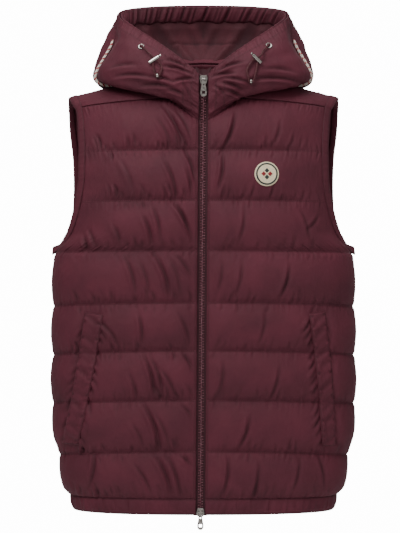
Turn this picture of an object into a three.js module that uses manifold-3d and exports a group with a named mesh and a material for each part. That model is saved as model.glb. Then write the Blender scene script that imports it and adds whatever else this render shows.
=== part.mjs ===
// Hooded puffer vest with a two-way zip, as it fills out when worn, with nobody in it.
// Millimetres, +Z up, the front faces -Y and +X is the viewer's right.
// The origin is at the middle of the neck, level with the high points of the shoulders.
import * as THREE from 'three';
import { mergeVertices } from 'three/addons/utils/BufferGeometryUtils.js';
import Module from 'manifold-3d';

const wasm = await Module();
wasm.setup();

// Driving dimensions
const WALL = 2.4;               // padded cloth where it is stitched flat
const SEAM_GAP = 0.3;           // half of the space left between two sewn pieces
const PUFF = 11;                // rise of a quilted channel over its stitching
const ROUNDNESS = 2.5;          // power of the superellipse that a level section follows
const ZIP_HALF = 7.4;           // from the zip's middle to the front panel's edge
const ZIP_TOP = -15;
const ZIP_BOTTOM = -703;
const ZIP_LEAN = -5;            // sideways shift of the zip from its top to its bottom
const CHAIN_HALF = 3.4;
const TAPE_REACH = 10.5;
const BINDING_WIDTH = 9.5;
const WELT_RISE = 4.5;
const CASING_WIDTH = 27;
const CASING_GATHERS = 60;      // round the whole opening of the hood
const CORD_RADIUS = 1.5;
const PATCH_RADIUS = 19;
const PIPING_RADIUS = 2.2;
const CHAIN_FRONT = -1.1;       // faces of the chain, from the line that the zip follows
const CHAIN_BACK = 1.5;
const SLIDER_LENGTH = 13;
const SLIDER_HALF = 6;
const POST_LENGTH = 3;
const PLATE = 1.5;              // thickness of a slider's plates
const UPPER_SLIDER_TOP = -20;
const LOWER_SLIDER_BOTTOM = -704;
const RUN_GAP = 0.5;            // between a slider and the chain
const PIN_RADIUS = 0.9;
const PIN_REACH = 2.6;          // from the front plate's face to the pin's axis
const PULL_LENGTH = 27;
const PULL_THICKNESS = 1.8;
const LOCK_RADIUS = 2.9;
const LOCK_LENGTH = 22;
const BEAD_RADIUS = 3.7;

const vec = (x, y, z) => new THREE.Vector3(x, y, z);
const mix = THREE.MathUtils.lerp;
const clamp = THREE.MathUtils.clamp;
const range = (count) => Array.from({ length: count }, (_, i) => i);

// Body form at the cloth's inner face, by height: centre front and centre back depth, half width
const BODY = [
  { z: 12, front: 50, back: 66, half: 234 },
  { z: -57, front: 74, back: 83, half: 234 },
  { z: -88, front: 86, back: 88, half: 234 },
  { z: -136, front: 96, back: 96, half: 234 },
  { z: -214, front: 107, back: 101, half: 234 },
  { z: -297, front: 110, back: 101, half: 234 },
  { z: -373, front: 111, back: 100, half: 236 },
  { z: -447, front: 110, back: 100, half: 236.5 },
  { z: -523, front: 109, back: 101, half: 237 },
  { z: -575, front: 108, back: 100, half: 234 },
  { z: -607, front: 107, back: 99, half: 228 },
  { z: -640, front: 105, back: 97, half: 221 },
  { z: -677, front: 102, back: 95, half: 211 },
  { z: -702, front: 101.5, back: 94, half: 205 },
];

// Where the padded panels end round the arm, at the front and at the back
const ARM_FRONT = [
  { z: -66, x: 192, y: -34 },
  { z: -97, x: 188, y: -50 },
  { z: -133, x: 187.5, y: -61 },
  { z: -179, x: 189, y: -66 },
  { z: -213, x: 198, y: -62 },
  { z: -246, x: 208, y: -53 },
  { z: -276, x: 220, y: -37 },
  { z: -290, x: 229, y: -21 },
  { z: -297, x: 234, y: 0 },
];
const ARM_BACK = [
  { z: -62, x: 208, y: 42 },
  { z: -93, x: 207, y: 58 },
  { z: -145, x: 202, y: 68 },
  { z: -182, x: 201, y: 70 },
  { z: -229, x: 206, y: 65 },
  { z: -267, x: 217, y: 48 },
  { z: -290, x: 229, y: 24 },
  { z: -297, x: 234, y: 0 },
];
const ARMPIT = -297;

// Stitch lines that part the channels, at the zip or centre back and at the side
const QUILT = [
  { middle: -136, side: -137 },
  { middle: -214, side: -216 },
  { middle: -292, side: -297 },
  { middle: -373, side: -381 },
  { middle: -447, side: -459 },
  { middle: -524, side: -535 },
  { middle: -603, side: -617 },
  { middle: -677, side: -678 },
];
const HEM_BOTTOM = -702;

// Top edge of a front panel: up the neckline, then along the yoke seam. along is its share of the row
const FRONT_TOP = [
  { along: 0, z: -89 },
  { along: 0.06, z: -83 },
  { along: 0.17, z: -67 },
  { along: 0.27, z: -55 },
  { along: 0.5, z: -58 },
  { along: 1, z: -66 },
];
const YOKE_START = 0.27;

// Top edge of the back: half of the back neck, then the shoulder seam out to its tip
const BACK_TOP = [
  { along: 0, x: 0, y: 66, z: 12 },
  { along: 0.15, x: 38, y: 59, z: 10 },
  { along: 0.28, x: 66, y: 38, z: 4 },
  { along: 0.38, x: 82, y: 8, z: -8 },
  { along: 0.7, x: 144, y: 7, z: -31 },
  { along: 1, x: 205, y: 6, z: -52 },
];
const SHOULDER_START = 0.38;
const BACK_YOKE_SEAM = { middle: -62, side: -62 };

// Hood from its opening's edge (brim) down over the outside to the neck seam, at stations from the
// throat round to the centre back. neck is the station's place along the neckline.
const HOOD = [
  { brim: [7.4, -95, -17], side: [7.4, -95.5, -38], bulge: [7.4, -94, -56], under: [7.4, -92, -70],
    lift: [7.4, -90.2, -79], neck: 0, lining: [9, -90, -45] },
  { brim: [44, -88, 12], side: [50, -96, -10], bulge: [54, -98, -34], under: [49, -93, -50],
    lift: [44, -86, -58], neck: 0.2, lining: [46, -82, -20] },
  { brim: [82, -66, 40], side: [96, -82, 12], bulge: [106, -86, -24], under: [91, -82, -42],
    lift: [72, -74, -42], neck: 0.38, lining: [84, -62, 2] },
  { brim: [118, -34, 66], side: [130, -52, 32], bulge: [152, -60, -18], under: [128, -52, -34],
    lift: [96, -40, -18], neck: 0.5, lining: [110, -34, 22] },
  { brim: [136, 8, 84], side: [141, -4, 40], bulge: [171, -14, -14], under: [146, -10, -18],
    lift: [104, -6, 2], neck: 0.63, lining: [122, 6, 34] },
  { brim: [130, 52, 99], side: [158, 46, 45], bulge: [171, 60, -14], under: [134, 66, -28],
    lift: [88, 44, 12], neck: 0.74, lining: [118, 46, 44] },
  { brim: [80, 82, 108], side: [112, 112, 55], bulge: [118, 138, -24], under: [84, 118, -58],
    lift: [52, 88, 20], neck: 0.87, lining: [76, 84, 50] },
  { brim: [0, 92, 110], side: [0, 138, 62], bulge: [0, 162, -30], under: [0, 128, -72],
    lift: [0, 96, 22], neck: 1, lining: [0, 98, 54] },
];
const SIDE_PANEL_END = 4.15;    // station of the seam between a hood side and the centre panel

// Largest folds of the fronts: a soft trough between two places on the front
const FOLDS = [
  { side: -1, from: [-58, -78], to: [-28, -170], width: 13, depth: 5 },
  { side: -1, from: [-46, -180], to: [-18, -270], width: 12, depth: 4 },
  { side: -1, from: [-76, -262], to: [-48, -350], width: 12, depth: 4 },
  { side: -1, from: [-92, -500], to: [-66, -590], width: 12, depth: 4 },
  { side: -1, from: [-80, -610], to: [-56, -670], width: 11, depth: 3 },
  { side: 1, from: [52, -80], to: [24, -190], width: 13, depth: 4 },
  { side: 1, from: [134, -310], to: [118, -362], width: 11, depth: 3 },
  { side: 1, from: [72, -545], to: [54, -595], width: 11, depth: 3 },
  { side: 1, from: [38, -608], to: [28, -665], width: 11, depth: 3 },
];

// Pocket welts, as corners on the front: outer top, inner top, inner bottom, outer bottom
const WELTS = [
  { side: -1, corners: [[-184, -388], [-156, -392], [-199, -592], [-221, -592]] },
  { side: 1, corners: [[189, -386], [163, -390], [184, -597], [206, -597]] },
];

// Value of one column of a table at a height, on a smooth curve through its rows
function lookUp(table, key, value, by = 'z') {
  const sorted = [...table].sort((a, b) => a[by] - b[by]);
  const last = sorted.length - 1;
  const at = clamp(value, sorted[0][by], sorted[last][by]);
  let i = 0;
  while (i < last - 1 && at > sorted[i + 1][by]) i += 1;
  const slope = (a, b) => (sorted[b][key] - sorted[a][key]) / (sorted[b][by] - sorted[a][by]);
  const step = sorted[i + 1][by] - sorted[i][by];
  const here = slope(i, i + 1);
  const before = i > 0 ? slope(i - 1, i) : here;
  const after = i < last - 1 ? slope(i + 1, i + 2) : here;
  const tangent = (a, b) => (a * b <= 0 ? 0 : (2 * a * b) / (a + b));
  const start = i > 0 ? tangent(before, here) : here;
  const end = i < last - 1 ? tangent(here, after) : here;
  const t = (at - sorted[i][by]) / step;
  return (1 + 2 * t) * (1 - t) ** 2 * sorted[i][key] + t * (1 - t) ** 2 * step * start
    + t * t * (3 - 2 * t) * sorted[i + 1][key] + t * t * (t - 1) * step * end;
}

// Grids of points, as rows of columns
const gridOf = (rows, columns, pointAt) => range(rows).map((r) => range(columns).map((c) => pointAt(r, c)));
const pick = (grid, rows, columns) => rows.map((r) => columns.map((c) => grid[r][c].clone()));

function normalsOf(grid, sign) {
  return grid.map((row, r) => row.map((_, c) => {
    const left = row[Math.max(c - 1, 0)];
    const right = row[Math.min(c + 1, row.length - 1)];
    const below = grid[Math.max(r - 1, 0)][c];
    const above = grid[Math.min(r + 1, grid.length - 1)][c];
    return right.clone().sub(left).cross(above.clone().sub(below)).normalize().multiplyScalar(sign);
  }));
}

function movedOut(grid, sign, distanceAt) {
  const normals = normalsOf(grid, sign);
  return grid.map((row, r) => row.map((p, c) => p.clone().addScaledVector(normals[r][c], distanceAt(r, c))));
}

// Closed geometry from points and triangles, turned so that its faces point out
function closedGeometry(points, triangles) {
  const volume = triangles.reduce((sum, [a, b, c]) => (
    sum + points[a].dot(points[b].clone().cross(points[c]))), 0);
  const turned = volume < 0 ? triangles.map(([a, b, c]) => [a, c, b]) : triangles;
  const geometry = new THREE.BufferGeometry();
  geometry.setAttribute('position', new THREE.Float32BufferAttribute(points.flatMap((p) => p.toArray()), 3));
  geometry.setIndex(turned.flat());
  return geometry;
}

// Wall between an outer grid and the inner one, of which only the given rows and columns are kept,
// closed along its four edges
function wall(outer, full, rows = range(full.length), columns = range(full[0].length)) {
  const inner = pick(full, rows, columns);
  const allRows = range(outer.length);
  const allColumns = range(outer[0].length);
  const points = [];
  const triangles = [];
  const placed = (grid) => grid.map((row) => row.map((p) => points.push(p) - 1));
  const skin = (ids, flip) => {
    range(ids.length - 1).forEach((r) => range(ids[0].length - 1).forEach((c) => {
      const [a, b, d, e] = [ids[r][c], ids[r][c + 1], ids[r + 1][c + 1], ids[r + 1][c]];
      triangles.push(flip ? [a, d, b] : [a, b, d], flip ? [a, e, d] : [a, d, e]);
    }));
  };
  const rim = (ids) => [
    ids[0],
    ids.map((row) => row[row.length - 1]),
    [...ids[ids.length - 1]].reverse(),
    ids.map((row) => row[0]).reverse(),
  ];
  const zip = (outside, inside, outsideAt, insideAt) => {
    let i = 0;
    let j = 0;
    while (i < outside.length - 1 || j < inside.length - 1) {
      const outsideFirst = i < outside.length - 1 && outsideAt[i + 1] <= insideAt[j + 1];
      if (j === inside.length - 1 || outsideFirst) {
        triangles.push([outside[i + 1], outside[i], inside[j]]);
        i += 1;
      } else {
        triangles.push([outside[i], inside[j], inside[j + 1]]);
        j += 1;
      }
    }
  };
  const outerIds = placed(outer);
  const innerIds = placed(inner);
  skin(outerIds, false);
  skin(innerIds, true);
  const insideRims = rim(innerIds);
  const last = [outer.length - 1, outer[0].length - 1];
  const turned = (list, end) => list.map((i) => end - i).reverse();
  const outsideAt = [allColumns, allRows, allColumns, allRows];
  const insideAt = [columns, rows, turned(columns, last[1]), turned(rows, last[0])];
  rim(outerIds).forEach((side, k) => zip(side, insideRims[k], outsideAt[k], insideAt[k]));
  return closedGeometry(points, triangles);
}

// Solid through like sections, each a convex ring of points, capped or closed on itself
function loft(sections, closed = false) {
  const size = sections[0].length;
  const points = sections.flat();
  const triangles = [];
  const count = closed ? sections.length : sections.length - 1;
  range(count).forEach((s) => range(size).forEach((k) => {
    const next = ((s + 1) % sections.length) * size;
    const [a, b] = [s * size + k, s * size + ((k + 1) % size)];
    const [d, e] = [next + ((k + 1) % size), next + k];
    triangles.push([a, b, d], [a, d, e]);
  }));
  if (!closed) {
    const end = (sections.length - 1) * size;
    range(size - 2).forEach((k) => {
      triangles.push([0, k + 2, k + 1], [end, end + k + 1, end + k + 2]);
    });
  }
  return closedGeometry(points, triangles);
}

// Booleans on closed geometries
function solidOf(geometry) {
  const bare = geometry.clone();
  ['normal', 'uv'].forEach((name) => bare.deleteAttribute(name));
  const merged = mergeVertices(bare, 1e-4);
  const ids = merged.index.array;
  const kept = range(ids.length / 3).map((t) => [ids[3 * t], ids[3 * t + 1], ids[3 * t + 2]])
    .filter(([a, b, c]) => a !== b && b !== c && c !== a);
  return new wasm.Manifold(new wasm.Mesh({
    numProp: 3,
    vertProperties: Float32Array.from(merged.attributes.position.array),
    triVerts: Uint32Array.from(kept.flat()),
  }));
}

function geometryOf(solid) {
  const mesh = solid.getMesh();
  const geometry = new THREE.BufferGeometry();
  geometry.setAttribute('position', new THREE.BufferAttribute(mesh.vertProperties, 3));
  geometry.setIndex(new THREE.BufferAttribute(mesh.triVerts, 1));
  return geometry;
}

// Materials
const cloth = (color) => new THREE.MeshStandardMaterial({ color, roughness: 0.55, metalness: 0 });
const NYLON = cloth(0x5a3038);
const LINING = cloth(0x2e1218);
const TAPE = cloth(0x45202a);
const TEETH = cloth(0x6e4a50);
const CORD = cloth(0x5b1c27);
const PIPING = cloth(0xefe6dc);
const FELT = cloth(0xefe3cf);
const METAL = new THREE.MeshStandardMaterial({ color: 0xd8d2cc, roughness: 0.3, metalness: 1 });

const group = new THREE.Group();

function add(name, geometry, material, position = [0, 0, 0], quaternion = null) {
  const mesh = new THREE.Mesh(geometry, material);
  mesh.name = name;
  mesh.position.set(...position);
  if (quaternion) mesh.quaternion.copy(quaternion);
  group.add(mesh);
  return mesh;
}

const SIDES = [{ name: 'left', sign: -1 }, { name: 'right', sign: 1 }];

// Body: point of a level section between its middle and its side seam or armhole
const zipX = (z) => ZIP_LEAN * clamp((ZIP_TOP - z) / (ZIP_TOP - ZIP_BOTTOM), 0, 1);

function sectionPoint(sign, isFront, along, z, startX) {
  const depth = lookUp(BODY, isFront ? 'front' : 'back', z);
  const table = isFront ? ARM_FRONT : ARM_BACK;
  const edge = z < ARMPIT
    ? { x: lookUp(BODY, 'half', z), y: 0 }
    : { x: lookUp(table, 'x', z), y: Math.abs(lookUp(table, 'y', z)) };
  const width = edge.x / (1 - (edge.y / depth) ** ROUNDNESS) ** (1 / ROUNDNESS);
  const endAngle = Math.atan2((edge.x / width) ** (ROUNDNESS / 2), (edge.y / depth) ** (ROUNDNESS / 2));
  const startAngle = Math.asin((startX / width) ** (ROUNDNESS / 2));
  const steps = 48;
  const curve = range(steps + 1).map((i) => {
    const angle = mix(startAngle, endAngle, i / steps);
    const x = width * Math.sin(angle) ** (2 / ROUNDNESS);
    const y = depth * Math.max(Math.cos(angle), 0) ** (2 / ROUNDNESS);
    return vec(sign * x, isFront ? -y : y, z);
  });
  const lengths = curve.map((p, i) => (i ? p.distanceTo(curve[i - 1]) : 0));
  const total = lengths.reduce((a, b) => a + b, 0);
  let left = clamp(along, 0, 1) * (total - SEAM_GAP);
  let i = 1;
  while (i < steps && left > lengths[i]) {
    left -= lengths[i];
    i += 1;
  }
  return curve[i - 1].clone().lerp(curve[i], left / lengths[i]);
}

const seamHeight = (seam, along) => mix(seam.middle, seam.side, along * along);
const frontStart = (sign, z) => ZIP_HALF + sign * zipX(z);

function frontPoint(sign, along, z) {
  return sectionPoint(sign, true, along, z, frontStart(sign, z));
}

// Rows of a panel: places across each channel, finer in the one that ends at the armpit
const STEPS = [0, 0.2, 0.5, 0.8];
const ARMPIT_STEPS = [0, 0.2, 0.5, 0.78, 0.92];
const ARMPIT_CHANNEL = 2;

function channelRows(channels) {
  const rows = [];
  range(channels).forEach((channel) => {
    const shares = channel === ARMPIT_CHANNEL ? ARMPIT_STEPS : STEPS;
    shares.forEach((share) => rows.push({ channel, share }));
  });
  rows.push({ channel: channels - 1, share: 1 });
  return rows;
}

// Rise of a channel: round across it, pinched towards the panel's edges
function puffAt(share, fromStart, fromEnd, height = PUFF) {
  const across = Math.sin(Math.PI * clamp(share, 0, 1)) ** 0.65;
  const pinch = (distance, reach, floor) => mix(floor, 1, Math.sin(Math.PI / 2 * clamp(distance / reach, 0, 1)));
  return height * across * pinch(fromStart, 34, 0.25) * pinch(fromEnd, 60, 0.22);
}

function foldDepth(sign, point) {
  return FOLDS.filter((fold) => fold.side === sign).reduce((sum, fold) => {
    const [ax, az] = fold.from;
    const [bx, bz] = fold.to;
    const [dx, dz] = [bx - ax, bz - az];
    const t = clamp(((point.x - ax) * dx + (point.z - az) * dz) / (dx * dx + dz * dz), 0, 1);
    const gap = Math.hypot(point.x - ax - t * dx, point.z - az - t * dz);
    return sum + fold.depth * Math.sin(Math.PI * clamp(t * 0.9 + 0.05, 0, 1)) * Math.exp(-((gap / fold.width) ** 2));
  }, 0);
}

// How far a place lies inside a welt's outline, 0 outside to 1 well inside
function underWelt(sign, point) {
  const { corners } = WELTS.find((w) => w.side === sign);
  const [outerTop, innerTop, innerBottom, outerBottom] = corners;
  const t = (point.z - outerTop[1]) / (outerBottom[1] - outerTop[1]);
  if (t < -0.05 || t > 1.05) return 0;
  const outer = mix(outerTop[0], outerBottom[0], t);
  const inner = mix(innerTop[0], innerBottom[0], t);
  const middle = (outer + inner) / 2;
  return clamp(1.6 - Math.abs(point.x - middle) / Math.abs(outer - inner) * 2, 0, 1);
}

const FRONT_COLUMNS = 16;
const BACK_COLUMNS = 20;
const everyOther = (count) => range(count).filter((c) => c % 2 === 0);
const frontRows = channelRows(QUILT.length);
// Rows of a plain inside: all of them round the arm, where the edge curves, and one a seam below
const innerRows = (rows) => range(rows.length)
  .filter((r) => rows[r].channel <= ARMPIT_CHANNEL || rows[r].share === 0 || rows[r].share === 1);

function frontGrid(sign) {
  return gridOf(frontRows.length, FRONT_COLUMNS + 1, (r, c) => {
    const along = c / FRONT_COLUMNS;
    const { channel, share } = frontRows[r];
    const top = channel === 0 ? lookUp(FRONT_TOP, 'z', along, 'along') : seamHeight(QUILT[channel - 1], along);
    const z = mix(top, seamHeight(QUILT[channel], along), share);
    return frontPoint(sign, along, z);
  });
}

// The sign that turns a front grid's normals outwards: its rows go down and its columns to the side
function outerFront(sign, grid) {
  return movedOut(grid, -sign, (r, c) => {
    const { share } = frontRows[r];
    const length = (grid[r][FRONT_COLUMNS].x - grid[r][0].x) * sign * 1.15;
    const from = (c / FRONT_COLUMNS) * length;
    const rise = puffAt(share, from, length - from) - foldDepth(sign, grid[r][c]);
    return WALL + Math.max(rise * mix(1, 0.45, underWelt(sign, grid[r][c])), 0);
  });
}

const fronts = Object.fromEntries(SIDES.map(({ name, sign }) => {
  const base = frontGrid(sign);
  const outer = outerFront(sign, base);
  add(`front_panel_${name}`, wall(outer, base, innerRows(frontRows)), NYLON);
  return [name, { base, outer }];
}));

// Back panel: level rows up to its yoke seam, then a round channel up to the neck and shoulders
const BACK_SEAMS = [BACK_YOKE_SEAM, ...QUILT];
const TOP_STEPS = [1, 0.82, 0.5, 0.2];

function backTop(sign, along) {
  return vec(sign * lookUp(BACK_TOP, 'x', along, 'along'), lookUp(BACK_TOP, 'y', along, 'along'),
    lookUp(BACK_TOP, 'z', along, 'along'));
}

function roundOver(bottom, top, t) {
  const corner = vec(mix(bottom.x, top.x, 0.5), mix(bottom.y, top.y, 0.35), mix(bottom.z, top.z, 0.68));
  const lower = bottom.clone().lerp(corner, t);
  return lower.lerp(corner.clone().lerp(top, t), t);
}

const backRows = [
  ...TOP_STEPS.map((t) => ({ channel: -1, share: 1 - t, t })),
  ...channelRows(QUILT.length),
].map((row) => (row.channel < 0 ? row : { ...row, t: 0 }));

function backPoint(row, share) {
  const sign = share < 0 ? -1 : 1;
  const along = Math.abs(share);
  const { channel, t } = row;
  const upper = channel < 0 ? BACK_YOKE_SEAM : BACK_SEAMS[channel];
  const lower = channel < 0 ? BACK_YOKE_SEAM : QUILT[channel];
  const z = mix(seamHeight(upper, along), seamHeight(lower, along), channel < 0 ? 0 : row.share);
  const level = sectionPoint(sign, false, along, z, 0);
  if (channel >= 0) return level;
  const top = backTop(sign, along).add(vec(0, SEAM_GAP, 0));
  return roundOver(level, top, t);
}

const backBase = gridOf(backRows.length, BACK_COLUMNS + 1, (r, c) => (
  backPoint(backRows[r], (c / BACK_COLUMNS) * 2 - 1)));
const backOuter = movedOut(backBase, 1, (r, c) => {
  const { share, channel } = backRows[r];
  const fromMiddle = Math.abs((c / BACK_COLUMNS) * 2 - 1);
  const height = channel < 0 ? 6 : PUFF - 1;
  return WALL + puffAt(share, 1000, (1 - fromMiddle) * 260, height);
});
add('back_panel', wall(backOuter, backBase, innerRows(backRows), everyOther(BACK_COLUMNS + 1)), NYLON);

// Front yokes, from the yoke seam up to the shoulder seam
const YOKE_COLUMNS = 10;
const YOKE_STEPS = [0, 0.25, 0.55, 0.8, 1];

const yokes = Object.fromEntries(SIDES.map(({ name, sign }) => {
  const base = gridOf(YOKE_STEPS.length, YOKE_COLUMNS + 1, (r, c) => {
    const share = c / YOKE_COLUMNS;
    const low = mix(YOKE_START, 1, share);
    const bottom = frontPoint(sign, low, lookUp(FRONT_TOP, 'z', low, 'along') + 2 * SEAM_GAP);
    const top = backTop(sign, mix(SHOULDER_START, 1, share)).add(vec(0, -SEAM_GAP, 0));
    return roundOver(bottom, top, YOKE_STEPS[r]);
  });
  const outer = movedOut(base, sign, (r, c) => {
    const from = (c / YOKE_COLUMNS) * 130;
    return WALL + puffAt(YOKE_STEPS[r], from, 130 - from, 5);
  });
  add(`front_yoke_${name}`, wall(outer, base), NYLON);
  return [name, { base, outer }];
}));

// Hem band: a plain band with small gathers, in three pieces
const HEM_STEPS = [0, 0.3, 0.7, 1];

function hemBand(name, columns, pointAt, sign) {
  const base = gridOf(HEM_STEPS.length, columns + 1, (r, c) => {
    const top = -678 - 2 * SEAM_GAP;
    return pointAt(c / columns, mix(top, HEM_BOTTOM, HEM_STEPS[r]));
  });
  const outer = movedOut(base, sign, (r, c) => {
    const gather = c > 0 && c < columns && c % 2 === 0 ? 1.3 : 0;
    return WALL + 2.2 * Math.sin(Math.PI * HEM_STEPS[r]) ** 0.6 + gather * Math.sin(Math.PI * HEM_STEPS[r]);
  });
  add(name, wall(outer, base, [0, HEM_STEPS.length - 1], everyOther(columns + 1)), NYLON);
}

SIDES.forEach(({ name, sign }) => hemBand(`hem_band_${name}`, 32, (along, z) => frontPoint(sign, along, z), -sign));
hemBand('hem_band_back', 60, (share, z) => (
  sectionPoint(share < 0.5 ? -1 : 1, false, Math.abs(share * 2 - 1), z, 0)), 1);

// Armhole binding: a flat band on from the panels' edge, all round the arm
function armholeEdge(name, sign) {
  const down = frontRows.map((row, r) => ({ row, r }))
    .filter(({ row }) => row.channel <= ARMPIT_CHANNEL).map(({ r }) => r);
  const edges = [];
  const take = (grid, r, c, inward, turn) => {
    const normal = normalsOf(grid, turn)[r][c];
    edges.push({ point: grid[r][c].clone(), normal, inward: grid[r][c + inward].clone() });
  };
  [...down].reverse().forEach((r) => take(fronts[name].base, r, FRONT_COLUMNS, -1, -sign));
  YOKE_STEPS.forEach((_, r) => {
    if (r > 0) take(yokes[name].base, r, YOKE_COLUMNS, -1, sign);
  });
  const backColumn = sign > 0 ? BACK_COLUMNS : 0;
  backRows.forEach((row, r) => {
    if (row.channel <= ARMPIT_CHANNEL && r > 0) take(backBase, r, backColumn, -sign, 1);
  });
  edges.push({
    point: vec(sign * lookUp(BODY, 'half', ARMPIT), 0, ARMPIT + SEAM_GAP),
    normal: vec(sign, 0, 0),
    inward: vec(sign * lookUp(BODY, 'half', ARMPIT), 0, ARMPIT - 20),
  });
  return edges;
}

SIDES.forEach(({ name, sign }) => {
  const edges = armholeEdge(name, sign);
  const sections = edges.map(({ point, normal, inward }, i) => {
    const before = edges[(i + edges.length - 1) % edges.length].point;
    const after = edges[(i + 1) % edges.length].point;
    const along = after.clone().sub(before).normalize();
    const away = along.clone().cross(normal).normalize();
    if (away.dot(point.clone().sub(inward)) < 0) away.negate();
    const up = away.clone().cross(along).normalize();
    if (up.dot(normal) < 0) up.negate();
    const at = (w, h) => point.clone().addScaledVector(away, w).addScaledVector(up, h);
    const w = BINDING_WIDTH;
    return [at(0.7, -0.4), at(w, -0.4), at(w + 1, 1.4), at(w, 3.2), at(0.7, 3.2)];
  });
  add(`armhole_binding_${name}`, loft(sections, true), NYLON);
});

// Neckline: up a front panel's top edge, a yoke's inner edge and round half of the back neck
function necklineCurve(name, sign) {
  const top = fronts[name].base[0];
  const points = [];
  range(FRONT_COLUMNS).forEach((c) => {
    if (c / FRONT_COLUMNS < YOKE_START - 0.02) points.push(top[c].clone());
  });
  yokes[name].base.forEach((row) => points.push(row[0].clone()));
  [0.28, 0.21, 0.15, 0.08, 0].forEach((along) => points.push(backTop(sign, along)));
  return new THREE.CatmullRomCurve3(points, false, 'centripetal');
}

const necklines = Object.fromEntries(SIDES.map(({ name, sign }) => [name, necklineCurve(name, sign)]));

// Hood surface: smooth both along the stations and from the brim down to the neck
const HOOD_KEYS = ['brim', 'side', 'bulge', 'under', 'lift'];

function stationPoint(key, station) {
  const points = HOOD.map((row) => vec(...row[key]));
  const mirrored = points.slice(-3, -1).reverse().map((p) => vec(-p.x, p.y, p.z));
  const curve = [...points, ...mirrored];
  const i = Math.min(Math.floor(station), HOOD.length - 2);
  const t = station - i;
  const before = i > 0 ? curve[i - 1] : curve[0].clone().multiplyScalar(2).sub(curve[1]);
  return vec(...['x', 'y', 'z'].map((axis) => {
    const [a, b, d, e] = [before[axis], curve[i][axis], curve[i + 1][axis], curve[i + 2][axis]];
    return 0.5 * (2 * b + (d - a) * t + (2 * a - 5 * b + 4 * d - e) * t * t + (3 * b - a - 3 * d + e) * t ** 3);
  }));
}

function neckShare(station) {
  const i = Math.min(Math.floor(station), HOOD.length - 2);
  return mix(HOOD[i].neck, HOOD[i + 1].neck, station - i);
}

const neckPoint = (name, station, out, rise) => {
  const p = necklines[name].getPointAt(clamp(neckShare(station), 0, 1));
  return p.add(vec(0, 0, rise)).add(vec(p.x, p.y, 0).normalize().multiplyScalar(out));
};

function hoodProfile(name, sign, station) {
  const points = HOOD_KEYS.map((key) => {
    const p = stationPoint(key, station);
    return vec(p.x * sign, p.y, p.z);
  });
  const behind = clamp(station / 3, 0, 1);
  const overShoulder = 3.4 * Math.sin(Math.PI * clamp(station / 5, 0, 1));
  points.push(neckPoint(name, station, mix(2.2, 1.6, behind), mix(1, 2.4, behind) + overShoulder));
  return new THREE.CatmullRomCurve3(points, false, 'centripetal');
}

// Rows of the hood, from the brim (0) to the neck seam (1)
const HOOD_SHARES = [0, 0.06, 0.13, 0.2, 0.28, 0.36, 0.44, 0.52, 0.6, 0.68, 0.76, 0.84, 0.92, 1];
const HOOD_INNER_ROWS = [0, 3, 6, 8, 9, 10, 11, 12, 13];

// Soft creases that drag across the hood's sides
const hoodCrease = (station, share) => Math.sin(station * 2.1 + share * 17);

// Wall of a hood panel. Each column is { side, station, fromSeam }, its distance to the side seam
function hoodWall(name, columns, outward, rise) {
  const base = gridOf(HOOD_SHARES.length, columns.length, (r, c) => {
    const { side, station } = columns[c];
    return hoodProfile(side.name, side.sign, station).getPoint(HOOD_SHARES[r]);
  });
  const outer = movedOut(base, outward, (r, c) => {
    const share = HOOD_SHARES[r];
    const open = clamp(1.5 * (1 - share) / 0.3, 0, 1) * Math.sin(Math.PI * share) ** 0.7;
    const pinch = Math.sin((Math.PI / 2) * clamp(columns[c].fromSeam / 40, 0, 1));
    return open * pinch * (rise + 1.4 * hoodCrease(columns[c].station, share));
  });
  const inside = movedOut(base, -outward, () => WALL);
  add(name, wall(outer, inside, HOOD_INNER_ROWS), NYLON);
  return outer;
}

const SIDE_COLUMNS = 16;
const hoodSides = Object.fromEntries(SIDES.map((side) => {
  const columns = range(SIDE_COLUMNS + 1).map((c) => ({
    side,
    station: (c / SIDE_COLUMNS) * (SIDE_PANEL_END - 0.01),
    fromSeam: (1 - c / SIDE_COLUMNS) * 180,
  }));
  return [side.name, hoodWall(`hood_side_${side.name}`, columns, -side.sign, 4)];
}));

const CENTRE_COLUMNS = 20;
hoodWall('hood_centre', range(CENTRE_COLUMNS + 1).map((c) => {
  const place = (c / CENTRE_COLUMNS) * 2 - 1;
  return {
    side: place < 0 ? SIDES[0] : SIDES[1],
    station: HOOD.length - 1 - Math.abs(place) * (HOOD.length - 1 - SIDE_PANEL_END - 0.01),
    fromSeam: (1 - Math.abs(place)) * 220,
  };
}), 1, 6);

// Lining inside the hood, from the brim in and down to the neck, with the gathered casing at its edge
function liningPoint(place, distance) {
  const side = place < 0 ? SIDES[0] : SIDES[1];
  const station = (HOOD.length - 1) * (1 - Math.abs(place));
  const mirror = (p) => vec(p.x * side.sign, p.y, p.z);
  const centre = vec(0, 20, 40);
  const brim = mirror(stationPoint('brim', station));
  const start = brim.clone().add(centre.clone().sub(brim).setLength(WALL + 1.6));
  const middle = mirror(stationPoint('lining', station));
  const end = neckPoint(side.name, station, -5, 5);
  const curve = new THREE.CatmullRomCurve3([start, middle, end], false, 'centripetal');
  const length = curve.getLength();
  return curve.getPointAt(clamp(distance < 0 ? 1 : distance / length, 0, 1));
}

const LINING_STEPS = [0, 0.15, 0.3, 0.45, 0.6, 0.75, 0.9, 1];
const LINING_COLUMNS = 36;
const liningEnd = 0.985;
const liningBase = gridOf(LINING_STEPS.length, LINING_COLUMNS + 1, (r, c) => {
  const place = ((c / LINING_COLUMNS) * 2 - 1) * liningEnd;
  const low = liningPoint(place, -1);
  const top = liningPoint(place, CASING_WIDTH + 2 * SEAM_GAP);
  const length = CASING_WIDTH + top.distanceTo(low) * 1.03;
  return LINING_STEPS[r] === 1 ? low : liningPoint(place, mix(CASING_WIDTH + 2 * SEAM_GAP, length, LINING_STEPS[r]));
});
const liningInner = movedOut(liningBase, -1, () => 1.2);
add('hood_lining', wall(liningInner, liningBase), LINING);

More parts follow.
